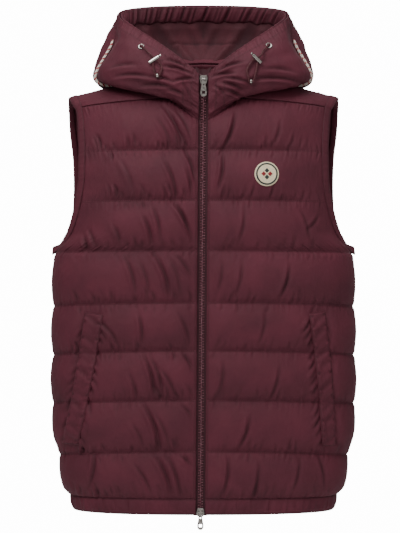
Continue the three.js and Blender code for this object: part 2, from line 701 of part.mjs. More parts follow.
const CASING_COLUMNS = CASING_GATHERS * 2;
const casingBase = gridOf(3, CASING_COLUMNS + 1, (r, c) => (
  liningPoint(((c / CASING_COLUMNS) * 2 - 1) * liningEnd, mix(0, CASING_WIDTH, r / 2))));
const casingInner = movedOut(casingBase, -1, (r, c) => 1.6 + (c % 2 === 0 ? 1.4 : 0) * (r === 0 ? 0.5 : 1));
add('hood_casing', wall(casingInner, casingBase, [0, 2], everyOther(CASING_COLUMNS + 1)), NYLON);

// Piping in the seam between a hood side and the centre panel, a round cord laid along its groove
SIDES.forEach(({ name }) => {
  const seam = hoodSides[name].map((row) => row[SIDE_COLUMNS]);
  const before = hoodSides[name].map((row) => row[SIDE_COLUMNS - 1]);
  const rows = range(11).map((r) => r + 1);
  const turn = Math.sign(seam[3].x);
  const sections = rows.map((r) => {
    const along = seam[r + 1].clone().sub(seam[r - 1]).normalize();
    const across = seam[r].clone().sub(before[r]).normalize();
    const out = along.clone().cross(across).normalize().multiplyScalar(turn);
    const flat = out.clone().cross(along).normalize();
    const centre = seam[r].clone().addScaledVector(out, PIPING_RADIUS + 1);
    return range(8).map((k) => centre.clone()
      .addScaledVector(out, PIPING_RADIUS * Math.cos((k * Math.PI) / 4))
      .addScaledVector(flat, PIPING_RADIUS * Math.sin((k * Math.PI) / 4)));
  });
  add(`hood_piping_${name}`, loft(sections), PIPING);
});

// What lies on a front is cut out of a layer over its outer points by an outline seen from the front
function layerOver(grid, sign, gap, thickness) {
  const low = movedOut(grid, -sign, () => gap);
  const high = movedOut(grid, -sign, () => gap + thickness);
  return solidOf(wall(high, low));
}

function cutByOutline(layer, shape) {
  const block = new THREE.ExtrudeGeometry(shape, { depth: 300, bevelEnabled: false });
  block.rotateX(Math.PI / 2);
  return geometryOf(layer.intersect(solidOf(block)));
}

const rowsBetween = (grid, high, low) => grid.filter((row, r) => (
  grid[Math.min(r + 1, grid.length - 1)][8].z < high && grid[Math.max(r - 1, 0)][8].z > low));

WELTS.forEach(({ side, corners }) => {
  const { name } = SIDES.find(({ sign }) => sign === side);
  const shape = new THREE.Shape(corners.map(([x, z]) => new THREE.Vector2(x, z)));
  const grid = rowsBetween(fronts[name].outer, corners[0][1] + 20, corners[2][1] - 30).map((row) => row.slice(7));
  add(`pocket_welt_${name}`, cutByOutline(layerOver(grid, side, 0.4, WELT_RISE), shape), NYLON);
});

// Small round patch on the wearer's left chest
const PATCH_CENTRE = { x: 97.5, z: -174 };
const patchShape = new THREE.Shape(range(24).map((k) => new THREE.Vector2(
  PATCH_CENTRE.x + PATCH_RADIUS * Math.cos((k * Math.PI) / 12),
  PATCH_CENTRE.z + PATCH_RADIUS * Math.sin((k * Math.PI) / 12),
)));
const patchGrid = rowsBetween(fronts.right.outer, -110, -235).map((row) => row.slice(2, 13));
add('chest_patch', cutByOutline(layerOver(patchGrid, 1, 0.4, 1.8), patchShape), FELT);

// Zip: the line that its inner face follows, up the fronts and the collar
const COLLAR_LINE = [
  { z: -15, y: -92.4 },
  { z: -38, y: -92.9 },
  { z: -56, y: -91.4 },
  { z: -70, y: -89.4 },
  { z: -79, y: -87.6 },
  { z: -88, y: -86 },
];
const zipY = (z) => (z > -88 ? lookUp(COLLAR_LINE, 'y', z) : -lookUp(BODY, 'front', z));
const ZIP_STEPS = [
  -28, -38, -48, -58, -68, -79, -88, -100, -115, -136, -170, -214, -297, -373, -450, -523, -575, -600, -625, -650, -677,
];

function ribbon(fromX, toX, fromY, toY, top, bottom) {
  const heights = [top, ...ZIP_STEPS.filter((z) => z < top - 4 && z > bottom + 4), bottom];
  return loft(heights.map((z) => {
    const at = (x, y) => vec(zipX(z) + x, zipY(z) + y, z);
    return [at(fromX, fromY), at(toX, fromY), at(toX, toY), at(fromX, toY)];
  }));
}

SIDES.forEach(({ name, sign }) => {
  const [a, b] = [sign * (CHAIN_HALF + 0.4), sign * TAPE_REACH].sort((p, q) => p - q);
  add(`zip_tape_${name}`, ribbon(a, b, 1, 1.8, ZIP_TOP - 3, HEM_BOTTOM + 1), TAPE);
});
add('zip_chain', ribbon(-CHAIN_HALF, CHAIN_HALF, CHAIN_FRONT, CHAIN_BACK,
  UPPER_SLIDER_TOP - POST_LENGTH - RUN_GAP, LOWER_SLIDER_BOTTOM + POST_LENGTH + RUN_GAP), TEETH);

// Sliders: a front and a back plate joined by a post at the end where the chain stops, with two lugs
// and a pin that holds the pull. Built round the chain's middle, with the post upwards.
const PLATE_FRONT = CHAIN_FRONT - RUN_GAP - PLATE;
const PIN_Y = PLATE_FRONT - PIN_REACH;
const PIN_Z = -SLIDER_LENGTH / 2;

const block = (x, y, z, at) => new THREE.BoxGeometry(x, y, z).translate(...at);

function plateShape(half) {
  const shape = new THREE.Shape();
  shape.moveTo(-half * 0.72, 0);
  shape.lineTo(half * 0.72, 0);
  shape.quadraticCurveTo(half * 1.02, -SLIDER_LENGTH * 0.18, half, -SLIDER_LENGTH * 0.42);
  shape.lineTo(half * 0.7, -SLIDER_LENGTH);
  shape.lineTo(-half * 0.7, -SLIDER_LENGTH);
  shape.lineTo(-half, -SLIDER_LENGTH * 0.42);
  shape.quadraticCurveTo(-half * 1.02, -SLIDER_LENGTH * 0.18, -half * 0.72, 0);
  return shape;
}

function sliderGeometry() {
  const plate = (half, y) => {
    const slab = new THREE.ExtrudeGeometry(plateShape(half), { depth: PLATE, bevelEnabled: false, curveSegments: 3 });
    return slab.rotateX(Math.PI / 2).translate(0, y + PLATE, 0);
  };
  const backY = CHAIN_BACK + RUN_GAP + 0.4;
  const postDepth = backY + PLATE - PLATE_FRONT;
  const lug = (sign) => block(1.3, PIN_REACH + 1.7, 3.4, [
    sign * 3.5, PLATE_FRONT - (PIN_REACH + 1.7) / 2 + 0.2, PIN_Z]);
  const pin = new THREE.CylinderGeometry(PIN_RADIUS, PIN_RADIUS, 7.4, 12).rotateZ(Math.PI / 2);
  return geometryOf([
    plate(SLIDER_HALF, PLATE_FRONT),
    plate(SLIDER_HALF - 0.6, backY),
    block(4, postDepth, POST_LENGTH, [0, PLATE_FRONT + postDepth / 2, -POST_LENGTH / 2]),
    lug(-1),
    lug(1),
    pin.translate(0, PIN_Y, PIN_Z),
  ].map(solidOf).reduce((all, solid) => all.add(solid)));
}

// Pull tab round the slider's pin: an eye and a plate that widens downwards, with a slot and a hole

function pullGeometry() {
  const outline = new THREE.Shape();
  outline.moveTo(2.4, 0);
  outline.lineTo(-2.4, 0);
  outline.lineTo(-3.1, -9);
  outline.lineTo(-4.9, -19);
  outline.absarc(0, -PULL_LENGTH + 4.9, 4.9, Math.PI, Math.PI * 2, false);
  outline.lineTo(4.9, -19);
  outline.lineTo(3.1, -9);
  const slot = new THREE.Path();
  slot.moveTo(-2.3, -18.2);
  slot.lineTo(2.3, -18.2);
  slot.lineTo(2.3, -22.6);
  slot.lineTo(-2.3, -22.6);
  const hole = new THREE.Path().absarc(0, -8.4, 1.1, 0, Math.PI * 2, false);
  outline.holes.push(slot, hole);
  const slab = new THREE.ExtrudeGeometry(outline, { depth: PULL_THICKNESS, bevelEnabled: false, curveSegments: 10 });
  slab.rotateX(Math.PI / 2).translate(0, PULL_THICKNESS / 2, 0);
  const barrel = (radius, width) => new THREE.CylinderGeometry(radius, radius, width, 16).rotateZ(Math.PI / 2);
  return geometryOf(solidOf(slab).add(solidOf(barrel(2.1, 4.8))).subtract(solidOf(barrel(PIN_RADIUS + 0.35, 9))));
}

const upperAt = [zipX(UPPER_SLIDER_TOP), zipY(UPPER_SLIDER_TOP - 6), UPPER_SLIDER_TOP];
const lowerAt = [zipX(LOWER_SLIDER_BOTTOM), zipY(LOWER_SLIDER_BOTTOM + 6), LOWER_SLIDER_BOTTOM];
add('zip_slider_upper', sliderGeometry(), METAL, upperAt);
const turnedOver = sliderGeometry().rotateZ(Math.PI).rotateX(Math.PI);
add('zip_slider_lower', turnedOver, METAL, lowerAt);
add('zip_pull_upper', pullGeometry(), METAL, [upperAt[0], upperAt[1] + PIN_Y, upperAt[2] + PIN_Z]);
add('zip_pull_lower', pullGeometry(), METAL, [lowerAt[0], lowerAt[1] + PIN_Y, lowerAt[2] - PIN_Z]);

// Place on a hood side straight behind a point of the front view, with the surface's normal there
function onHood(name, x, z) {
  const grid = hoodSides[name];
  const ray = new THREE.Ray(vec(x, -400, z), vec(0, 1, 0));
  const hits = [];
  range(grid.length - 1).forEach((r) => range(SIDE_COLUMNS).forEach((c) => {
    const [a, b, d, e] = [grid[r][c], grid[r][c + 1], grid[r + 1][c + 1], grid[r + 1][c]];
    [[a, b, d], [a, d, e]].forEach((triangle) => {
      const point = ray.intersectTriangle(...triangle, false, vec(0, 0, 0));
      const normal = triangle[1].clone().sub(triangle[0]).cross(triangle[2].clone().sub(triangle[0])).normalize();
      if (point) hits.push({ point, normal: normal.y > 0 ? normal.negate() : normal });
    });
  }));
  return hits.sort((a, b) => a.point.y - b.point.y)[0];
}

// Drawcord: out of an eyelet, through a metal lock, and round a loop that carries a small end piece
const TRIM = [
  { name: 'left', eyelet: [-97.5, 26], lock: [-77, 4], turn: 33, head: 1, loop: [-78, -63.5, -3, -21], bead: [-70.8, -22] },
  { name: 'right', eyelet: [102, 28], lock: [83, 5], turn: -45, head: -1, loop: [65, 82, -3, -28], bead: [72.3, -29.5] },
];

function cordGeometry(points) {
  const curve = new THREE.CatmullRomCurve3(points, false, 'centripetal');
  const section = new THREE.Shape(range(8).map((k) => new THREE.Vector2(
    CORD_RADIUS * Math.cos((k * Math.PI) / 4), CORD_RADIUS * Math.sin((k * Math.PI) / 4))));
  const steps = Math.max(4, Math.round(curve.getLength() / (CORD_RADIUS * 4.5)));
  return new THREE.ExtrudeGeometry(section, { steps, extrudePath: curve });
}

TRIM.forEach(({ name, eyelet, lock, turn, head, loop, bead }) => {
  const facing = (normal) => new THREE.Quaternion().setFromUnitVectors(vec(0, 1, 0), normal);
  const lifted = ([x, z], rise) => {
    const { point, normal } = onHood(name, x, z);
    return point.clone().addScaledVector(normal, rise);
  };
  const seat = onHood(name, ...eyelet);
  const ring = [[2.6, 0], [5.5, 0], [5.5, 0.8], [4.4, 1.5], [2.6, 1.2], [2.6, 0]].map(([x, y]) => new THREE.Vector2(x, y));
  add(`eyelet_${name}`, new THREE.LatheGeometry(ring, 20), METAL,
    seat.point.clone().addScaledVector(seat.normal, 0.5).toArray(), facing(seat.normal));

  // The lock: a barrel across the cord with a plunger at one end
  const angle = THREE.MathUtils.degToRad(turn);
  const axis = vec(Math.cos(angle), 0, Math.sin(angle));
  const middle = lifted(lock, 0).add(vec(0, -6.4, 0));
  const barrel = new THREE.CylinderGeometry(LOCK_RADIUS, LOCK_RADIUS, LOCK_LENGTH - 4, 14);
  const stem = new THREE.CylinderGeometry(1.3, 1.3, 4, 10).translate(0, (head * LOCK_LENGTH) / 2 - head * 1.5, 0);
  const cap = new THREE.CylinderGeometry(2.3, 2.3, 2, 14).translate(0, head * (LOCK_LENGTH / 2 + 1), 0);
  const lockSolid = [barrel, stem, cap].map(solidOf).reduce((all, solid) => all.add(solid));
  add(`cord_lock_${name}`, geometryOf(lockSolid), METAL, middle.toArray(),
    new THREE.Quaternion().setFromUnitVectors(vec(0, 1, 0), axis));

  const across = vec(-Math.sin(angle), 0, Math.cos(angle));
  const start = seat.point.clone().addScaledVector(seat.normal, 1.2);
  const lead = start.clone().addScaledVector(seat.normal, 3.5);
  const over = lifted([mix(eyelet[0], lock[0], 0.5), mix(eyelet[1], lock[1], 0.5)], 5.2);
  const stop = middle.clone().addScaledVector(across, LOCK_RADIUS + 0.4);
  const before = middle.clone().addScaledVector(across, LOCK_RADIUS + 6);
  add(`drawcord_${name}`, cordGeometry([start, lead, over, before, stop]), CORD);

  const [left, right, high, low] = loop;
  const inset = CORD_RADIUS;
  const out = (x, z) => lifted([x, z], BEAD_RADIUS + 0.6);
  const from = middle.clone().addScaledVector(across, -LOCK_RADIUS - 0.9).addScaledVector(axis, -4.4);
  const to = middle.clone().addScaledVector(across, -LOCK_RADIUS - 0.9).addScaledVector(axis, 4.4);
  const loopPoints = [
    from,
    out(left + inset, mix(high, low, 0.45)),
    out(mix(left, bead[0], 0.5), mix(high, low, 0.88)),
    out(bead[0] - 2.6, bead[1]),
    out(bead[0] + 2.6, bead[1]),
    out(mix(right, bead[0], 0.5), mix(high, low, 0.88)),
    out(right - inset, mix(high, low, 0.45)),
    to,
  ];
  add(`drawcord_loop_${name}`, cordGeometry(loopPoints), CORD);
  const bore = CORD_RADIUS + 1.2;
  const tube = [[bore, -1.6], [BEAD_RADIUS, -1.6], [BEAD_RADIUS, 1.6], [bore, 1.6], [bore, -1.6]]
    .map(([x, y]) => new THREE.Vector2(x, y));
  add(`cord_end_${name}`, new THREE.LatheGeometry(tube, 14), METAL, out(...bead).toArray(),
    new THREE.Quaternion().setFromUnitVectors(vec(0, 1, 0), vec(1, 0, 0)));
});

export default group;
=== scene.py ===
"""Dresses the hooded puffer vest: padded nylon, gathered hood, zip, trims, studio and camera."""

import math

import bmesh
import bpy
import mathutils
import numpy as np
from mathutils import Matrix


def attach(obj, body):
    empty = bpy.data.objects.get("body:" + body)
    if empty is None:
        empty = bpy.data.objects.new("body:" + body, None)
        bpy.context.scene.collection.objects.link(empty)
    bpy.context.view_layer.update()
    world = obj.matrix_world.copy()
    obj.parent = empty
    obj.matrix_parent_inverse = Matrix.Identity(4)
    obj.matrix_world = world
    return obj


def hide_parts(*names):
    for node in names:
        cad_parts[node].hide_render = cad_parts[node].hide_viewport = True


bl_info = {
    "name": "Hooded Puffer Vest",
    "version": (1, 0, 0),
    "blender": (4, 5, 0),
    "location": "View3D > Sidebar > Vest",
    "description": "Builds the cloth, trims and studio of a hooded puffer vest",
    "category": "Object",
}

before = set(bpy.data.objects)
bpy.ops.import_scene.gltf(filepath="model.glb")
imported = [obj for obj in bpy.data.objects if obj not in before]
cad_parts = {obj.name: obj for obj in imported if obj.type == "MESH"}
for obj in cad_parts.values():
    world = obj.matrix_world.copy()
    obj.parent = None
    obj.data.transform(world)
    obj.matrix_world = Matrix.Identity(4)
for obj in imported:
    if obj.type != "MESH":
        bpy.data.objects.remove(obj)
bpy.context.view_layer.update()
MM = 0.001
BODY = "vest"

# Sizes of the vest's form in millimetres, as the solids have them
WALL = 2.4
SEAM_GAP = 0.3
ROUNDNESS = 2.5
ZIP_HALF = 7.4
ZIP_TOP, ZIP_BOTTOM, ZIP_LEAN = -15, -703, -5
HEM_BOTTOM, HEM_HEIGHT, HEM_OVERLAP = -702, 23.4, 0.9
ARMPIT = -297
YOKE_START, SHOULDER_START, YOKE_SEAM = 0.27, 0.38, -62
CASING_WIDTH = 27
CORD_RADIUS = 1.5
PIPING_RADIUS = 2.2

# Body: height, depth at the centre front, depth at the centre back, half width
FORM = np.array([
    (12, 50, 66, 234), (-57, 74, 83, 234), (-88, 86, 88, 234), (-136, 96, 96, 234), (-214, 107, 101, 234),
    (-297, 110, 101, 234), (-373, 111, 100, 236), (-447, 110, 100, 236.5), (-523, 109, 101, 237),
    (-575, 108, 100, 234), (-607, 107, 99, 228), (-640, 105, 97, 223), (-664, 103, 95.5, 219), (-677, 102, 95, 211),
    (-702, 101.5, 94, 205),
])
# Edge of the panels round the arm: height, across, depth
ARM_FRONT = np.array([
    (-66, 192, 34), (-97, 188, 50), (-133, 186, 61), (-179, 186.5, 67), (-213, 191.5, 66), (-246, 199.5, 60),
    (-268, 208.5, 50), (-284, 221, 34), (-297, 234, 0),
])
ARM_BACK = np.array([
    (-62, 208, 42), (-93, 207, 58), (-145, 202, 68), (-182, 201, 70), (-229, 202.5, 66), (-267, 213, 51),
    (-287, 225, 31), (-297, 234, 0),
])
# Stitch lines between channels: height in the middle and at the side
QUILT = np.array([
    (-136, -137), (-214, -216), (-292, -297), (-373, -381), (-447, -459), (-524, -535), (-603, -617),
    (-677, -678),
])
CHANNELS = len(QUILT)
CHANNEL_HEIGHT = 77
CHANNEL_ROWS = 16
# Top edge of a front: share of the row, height
FRONT_TOP = np.array([(0, -89), (0.06, -83), (0.17, -67), (0.27, -55), (0.5, -58), (1, -66)])
# Top edge of the back, from the middle: share, across, depth, height
BACK_TOP = np.array([
    (0, 0, 66, 12), (0.15, 38, 59, 10), (0.28, 66, 38, 4), (0.38, 82, 8, -8), (0.7, 144, 7, -31),
    (1, 205, 6, -46),
])
# Hood at stations from the throat to the centre back: brim, side, bulge, under, lift, place along the
# neckline, lining
HOOD = [
    ((7.4, -95, -17), (7.4, -95.5, -38), (7.4, -94, -56), (7.4, -92, -70), (7.4, -90.2, -79), 0, (9, -90, -45)),
    ((44, -88, 12), (50, -96, -10), (54, -98, -34), (49, -93, -50), (44, -86, -58), 0.2, (46, -82, -20)),
    ((82, -66, 40), (96, -82, 12), (106, -86, -24), (91, -82, -42), (72, -74, -42), 0.38, (84, -62, 2)),
    ((118, -34, 66), (130, -52, 32), (152, -60, -18), (128, -52, -34), (96, -40, -18), 0.5, (110, -34, 22)),
    ((136, 8, 84), (141, -4, 40), (168, -14, -17), (146, -10, -25), (104, -6, -2), 0.63, (122, 6, 34)),
    ((130, 52, 100), (156, 46, 45), (168, 60, -17), (134, 66, -32), (88, 44, 12), 0.74, (118, 46, 44)),
    ((80, 82, 110), (112, 112, 55), (118, 138, -24), (84, 118, -58), (52, 88, 20), 0.87, (76, 84, 50)),
    ((0, 92, 113), (0, 138, 62), (0, 162, -30), (0, 128, -72), (0, 96, 22), 1, (0, 98, 54)),
]
HOOD_LAST = len(HOOD) - 1
SIDE_PANEL_END = 4.15

# Pocket welts: outer top, inner top, inner bottom, outer bottom, as across and height
WELTS = {-1: ((-185, -388), (-155, -392), (-195, -595), (-222, -595)),
         1: ((189, -386), (163, -390), (184, -597), (206, -597))}

# Creases that pull across the fronts: from (across, height) to (across, height), half width, depth
CREASES = {
    -1: [
        (-62, -68, -31, -134, 3.0, 5.0), (-31, -134, -12, -187, 2.8, 4.6), (-74, -84, -50, -132, 3.0, 2.2),
        (-44, -72, -18, -122, 2.8, 2.4), (-62, -151, -42, -210, 2.8, 3.2), (-27, -164, -19, -212, 2.6, 2.6),
        (-49, -216, -16, -279, 2.8, 4.6), (-44, -217, -24, -260, 2.6, 2.6), (-94, -238, -79, -288, 2.8, 4.2),
        (-81, -220, -66, -279, 2.8, 2.8), (-181, -257, -170, -289, 2.8, 2.6), (-140, -252, -129, -287, 2.8, 2.8),
        (-132, -146, -108, -206, 3.2, 1.4), (-79, -292, -51, -366, 3.0, 4.8), (-125, -296, -105, -360, 2.8, 3.0),
        (-100, -306, -84, -366, 2.8, 2.4), (-45, -297, -18, -334, 2.8, 3.0), (-56, -298, -34, -364, 2.6, 2.2),
        (-101, -388, -96, -441, 2.6, 3.2), (-155, -406, -130, -447, 2.8, 3.0), (-40, -386, -20, -440, 2.8, 2.6),
        (-93, -451, -76, -521, 2.8, 4.2), (-83, -454, -62, -521, 2.8, 3.8), (-67, -474, -42, -521, 2.8, 3.0),
        (-33, -451, -17, -477, 2.6, 3.0), (-116, -480, -104, -522, 2.8, 2.2), (-94, -527, -67, -599, 3.0, 5.0),
        (-110, -560, -92, -602, 2.8, 2.4), (-35, -529, -17, -552, 2.6, 3.0), (-78, -540, -50, -604, 2.6, 2.4),
        (-77, -606, -49, -672, 3.0, 4.4), (-58, -606, -35, -672, 2.8, 3.6), (-108, -622, -80, -672, 2.8, 2.8),
        (-40, -606, -17, -627, 2.6, 2.8), (-170, -600, -182, -668, 3.2, 3.2),
    ],
    1: [
        (50, -76, 29, -138, 3.0, 4.2), (29, -138, 22, -200, 2.8, 3.4), (134, -315, 118, -366, 2.8, 3.6),
        (72, -547, 53, -601, 3.0, 3.6), (38, -609, 30, -671, 2.8, 3.4), (150, -226, 166, -280, 3.0, 1.8),
        (64, -226, 52, -286, 2.8, 2.0), (96, -388, 84, -440, 2.8, 2.0), (118, -470, 104, -520, 2.8, 2.2),
        (30, -460, 22, -518, 2.6, 2.4), (86, -618, 76, -672, 2.8, 2.4), (120, -90, 108, -130, 3.0, 1.6),
        (28, -306, 20, -362, 2.6, 2.2), (150, -612, 138, -668, 2.8, 2.2), (181, -236, 160, -262, 2.8, 2.0),
        (60, -310, 48, -366, 2.8, 2.0), (176, -604, 190, -664, 3.0, 2.6),
    ],
}
BACK_CREASES = [
    (-60, -80, -30, -130, 5, 2.4), (70, -70, 40, -128, 5, 2.4), (-150, -146, -120, -206, 5, 2.0),
    (130, -150, 104, -208, 4.5, 1.8), (-40, -226, -16, -288, 4.5, 2.2), (60, -300, 36, -364, 5, 2.6),
    (-120, -304, -92, -366, 5, 2.4), (170, -390, 146, -440, 4.5, 2.0), (-70, -466, -44, -520, 5, 2.6),
    (24, -470, 10, -520, 4, 1.8), (110, -540, 86, -598, 5, 2.6), (-150, -544, -126, -604, 5, 2.2),
    (-30, -620, -12, -670, 4.5, 2.2), (70, -618, 50, -670, 4.5, 2.2),
]
# Creases on the lower sides of the hood, the same way
HOOD_CREASES = {
    -1: [
        (-140, -20, -84, -22, 3.0, 4.0), (-84, -22, -46, -31, 3.0, 4.4), (-67, -5, -16, -19, 2.8, 4.0),
        (-50, -31, -14, -25, 2.8, 3.6), (-62, 6, -22, -10, 2.8, 3.0), (-100, -36, -48, -40, 3.0, 3.0),
        (-150, -6, -104, -2, 3.2, 2.4), (-58, -42, -30, -52, 2.8, 3.0), (-30, -34, -20, -60, 2.6, 2.2),
    ],
    1: [
        (13, -22, 50, -17, 2.8, 4.0), (25, -31, 63, -45, 3.0, 4.6), (72, -27, 160, -30, 3.0, 4.0),
        (20, -14, 66, 2, 2.8, 3.4), (34, -44, 60, -54, 2.8, 3.6), (90, -10, 150, -14, 3.2, 2.4),
        (16, -36, 34, -52, 2.6, 3.0), (30, -24, 80, -36, 2.8, 3.4),
    ],
}


# Curves and grids
def smooth_row(table, column, at):
    """Monotone cubic through a table's first column and another: each inner slope is the harmonic mean of
    its neighbours' slopes, and nought at a turn."""
    rows = table[np.argsort(table[:, 0])]
    xs, ys = rows[:, 0], rows[:, column]
    step = np.diff(xs)
    slope = np.diff(ys) / step
    product = slope[:-1] * slope[1:]
    total = np.where(slope[:-1] + slope[1:] == 0, 1, slope[:-1] + slope[1:])
    inner = np.where(product > 0, 2 * product / total, 0)
    tangent = np.concatenate([slope[:1], inner, slope[-1:]])
    at = np.clip(at, xs[0], xs[-1])
    i = np.clip(np.searchsorted(xs, at, side="right") - 1, 0, len(step) - 1)
    t = (at - xs[i]) / step[i]
    return ((1 + 2 * t) * (1 - t) ** 2 * ys[i] + t * (1 - t) ** 2 * step[i] * tangent[i]
            + t * t * (3 - 2 * t) * ys[i + 1] + t * t * (t - 1) * step[i] * tangent[i + 1])


def mix(a, b, t):
    """Value at a share t of the way from a to b."""
    return a + (b - a) * t


def arch(share, power=1):
    """Power of the sine of a share of half a turn, nought at both ends."""
    return np.sin(np.pi * np.clip(share, 0, 1)) ** power


def ease(share):
    """Sine of a share of a quarter turn, from nought to one."""
    return np.sin(np.pi / 2 * np.clip(share, 0, 1))


def bell(away, width):
    """Bell curve: e to the minus square of a distance over its width."""
    return np.exp(-((away / width) ** 2))


def vectors(x, y, z):
    """Points from three coordinates, spread over one shape."""
    return np.stack(np.broadcast_arrays(x, y, z), axis=-1).astype(float)


def pairs(a, b):
    """Rows of two values from two arrays, spread over one shape."""
    return np.stack(np.broadcast_arrays(a, b), axis=-1).reshape(-1, 2)


def unit(v):
    """Vectors over their own lengths."""
    return v / np.maximum(np.linalg.norm(v, axis=-1, keepdims=True), 1e-9)


def run_along(points):
    """Length of a polyline up to each of its points."""
    return np.concatenate([[0], np.cumsum(np.linalg.norm(np.diff(points, axis=0), axis=1))])


def catmull_rom(p, i, t):
    """Uniform Catmull-Rom cubic between the second and third of four points from the i-th on: its slope at
    each is half the step between that point's neighbours."""
    a, b, c, d = p[i], p[i + 1], p[i + 2], p[i + 3]
    return 0.5 * (2 * b + (c - a) * t + (2 * a - 5 * b + 4 * c - d) * t ** 2
                  + (3 * b - a - 3 * c + d) * t ** 3)


def bilinear(grid, i, j, u, v):
    """Mean of a cell's four corners, weighed by the shares u down and v across it."""
    return ((1 - u) * ((1 - v) * grid[i, j] + v * grid[i, j + 1])
            + u * ((1 - v) * grid[i + 1, j] + v * grid[i + 1, j + 1]))


def spline(points, t):
    """Centripetal Catmull-Rom curves through (..., n, 3) points at the shares t: each span's tangents
    weigh the neighbouring spans by the square root of their lengths."""
    points = np.asarray(points, float)
    first = 2 * points[..., :1, :] - points[..., 1:2, :]
    last = 2 * points[..., -1:, :] - points[..., -2:-1, :]
    p = np.concatenate([first, points, last], axis=-2)
    count = points.shape[-2] - 1
    at = np.clip(t, 0, 1) * count
    i = np.minimum(at.astype(int), count - 1)
    w = (at - i)[:, None]
    a, b, c, d = (p[..., i + k, :] for k in range(4))
    far = [np.maximum(np.sqrt(np.linalg.norm(v - u, axis=-1, keepdims=True)), 1e-4)
           for u, v in ((a, b), (b, c), (c, d))]
    start = ((b - a) / far[0] - (c - a) / (far[0] + far[1]) + (c - b) / far[1]) * far[1]
    end = ((c - b) / far[1] - (d - b) / (far[1] + far[2]) + (d - c) / far[2]) * far[1]
    return (b + start * w + (3 * (c - b) - 2 * start - end) * w ** 2
            + (2 * (b - c) + start + end) * w ** 3)


def evenly(points, shares):
    """Points of a polyline at shares of its length."""
    along = run_along(points)
    at = np.asarray(shares) * along[-1]
    return np.stack([np.interp(at, along, points[:, k]) for k in range(3)], axis=-1)


def normals(grid, sign):
    """Cross product of a grid's steps along its columns and down its rows, turned by sign."""
    across = np.gradient(grid, axis=1)
    down = np.gradient(grid, axis=0)
    return unit(np.cross(across, down)) * sign


def finer(grid, k):
    """A grid with k steps for each one of its own, on uniform Catmull-Rom curves both ways."""
    for axis in (0, 1):
        g = np.moveaxis(grid, axis, 0)
        p = np.concatenate([2 * g[:1] - g[1:2], g, 2 * g[-1:] - g[-2:-1]])
        at = np.linspace(0, len(g) - 1, (len(g) - 1) * k + 1)
        i = np.minimum(at.astype(int), len(g) - 2)
        t = (at - i).reshape(-1, *([1] * (g.ndim - 1)))
        grid = np.moveaxis(catmull_rom(p, i, t), 0, axis)
    return grid


def sample(grid, r, c):
    """Bilinear value of a grid at fractional rows and columns."""
    r, c = np.clip(r, 0, grid.shape[0] - 1.001), np.clip(c, 0, grid.shape[1] - 1.001)
    i, j = r.astype(int), c.astype(int)
    return bilinear(grid, i, j, (r - i)[..., None], (c - j)[..., None])


def seen_from_front(grid, x, z):
    """Rows and columns of a grid that lie at (x, z) in the front view, by Newton's steps on its slopes."""
    down, across = np.gradient(grid, axis=0), np.gradient(grid, axis=1)
    far = np.abs(grid[::4, ::4, 0][..., None, None] - x) + np.abs(grid[::4, ::4, 2][..., None, None] - z)
    flat = far.reshape(-1, *x.shape).argmin(0)
    r, c = (k * 4.0 for k in np.unravel_index(flat, far.shape[:2]))
    for _ in range(12):
        p, a, b = sample(grid, r, c), sample(down, r, c), sample(across, r, c)
        dx, dz = x - p[..., 0], z - p[..., 2]
        size = a[..., 0] * b[..., 2] - a[..., 2] * b[..., 0]
        size = np.where(np.abs(size) < 1e-3, 1e-3, size)
        r = np.clip(r + np.clip((dx * b[..., 2] - dz * b[..., 0]) / size, -3, 3), 0, grid.shape[0] - 1.01)
        c = np.clip(c + np.clip((a[..., 0] * dz - a[..., 2] * dx) / size, -3, 3), 0, grid.shape[1] - 1.01)
    return r, c


def waves(seed, at, lengths, strengths):
    """Sum of sines of the given lengths with seeded phases, for gathers of uneven width."""
    phase = np.random.default_rng(seed).uniform(0, 2 * np.pi, len(lengths))
    return sum(s * np.sin(2 * np.pi * at / n + p) for n, s, p in zip(lengths, strengths, phase))


def uneven(seed, shape, coarse):
    """Smooth seeded noise from -1 to 1 on a grid, from random values at a coarser grid's points."""
    values = np.random.default_rng(seed).uniform(-1, 1, (coarse[0] + 3, coarse[1] + 3))
    rows, columns = (np.linspace(0, c, n) for c, n in zip(coarse, shape))
    r, c = np.meshgrid(rows, columns, indexing="ij")
    i, j = r.astype(int), c.astype(int)
    u, v = r - i, c - j
    return bilinear(values, i, j, u * u * (3 - 2 * u), v * v * (3 - 2 * v))


# Meshes
def grid_faces(rows, columns, first=0, flip=False):
    """Quads between neighbouring rows and columns of a grid's points."""
    ids = first + np.arange(rows * columns).reshape(rows, columns)
    quads = np.stack([ids[:-1, :-1], ids[:-1, 1:], ids[1:, 1:], ids[1:, :-1]], axis=-1).reshape(-1, 4)
    return quads[:, ::-1] if flip else quads


def edge_of(rows, columns, first=0):
    """The four edges of a grid's points, one after another round it."""
    ids = first + np.arange(rows * columns).reshape(rows, columns)
    return [ids[0], ids[:, -1], ids[-1, ::-1], ids[::-1, 0]]


def shell(outer, inner):
    """Closed wall between an outer grid and an inner one that has one step for k of the outer's: both
    grids' quads, and polygons round the four edges."""
    k = (outer.shape[0] - 1) // (inner.shape[0] - 1)
    count = outer.shape[0] * outer.shape[1]
    points = np.concatenate([outer.reshape(-1, 3), inner.reshape(-1, 3)])
    faces = grid_faces(*outer.shape[:2]).tolist() + grid_faces(*inner.shape[:2], count, True).tolist()
    for out, ins in zip(edge_of(*outer.shape[:2]), edge_of(*inner.shape[:2], count)):
        steps = np.arange(len(ins) - 1)
        rim = out[steps[:, None] * k + np.arange(k, -1, -1)]
        faces += np.concatenate([ins[:-1, None], ins[1:, None], rim], axis=1).tolist()
    return points, faces


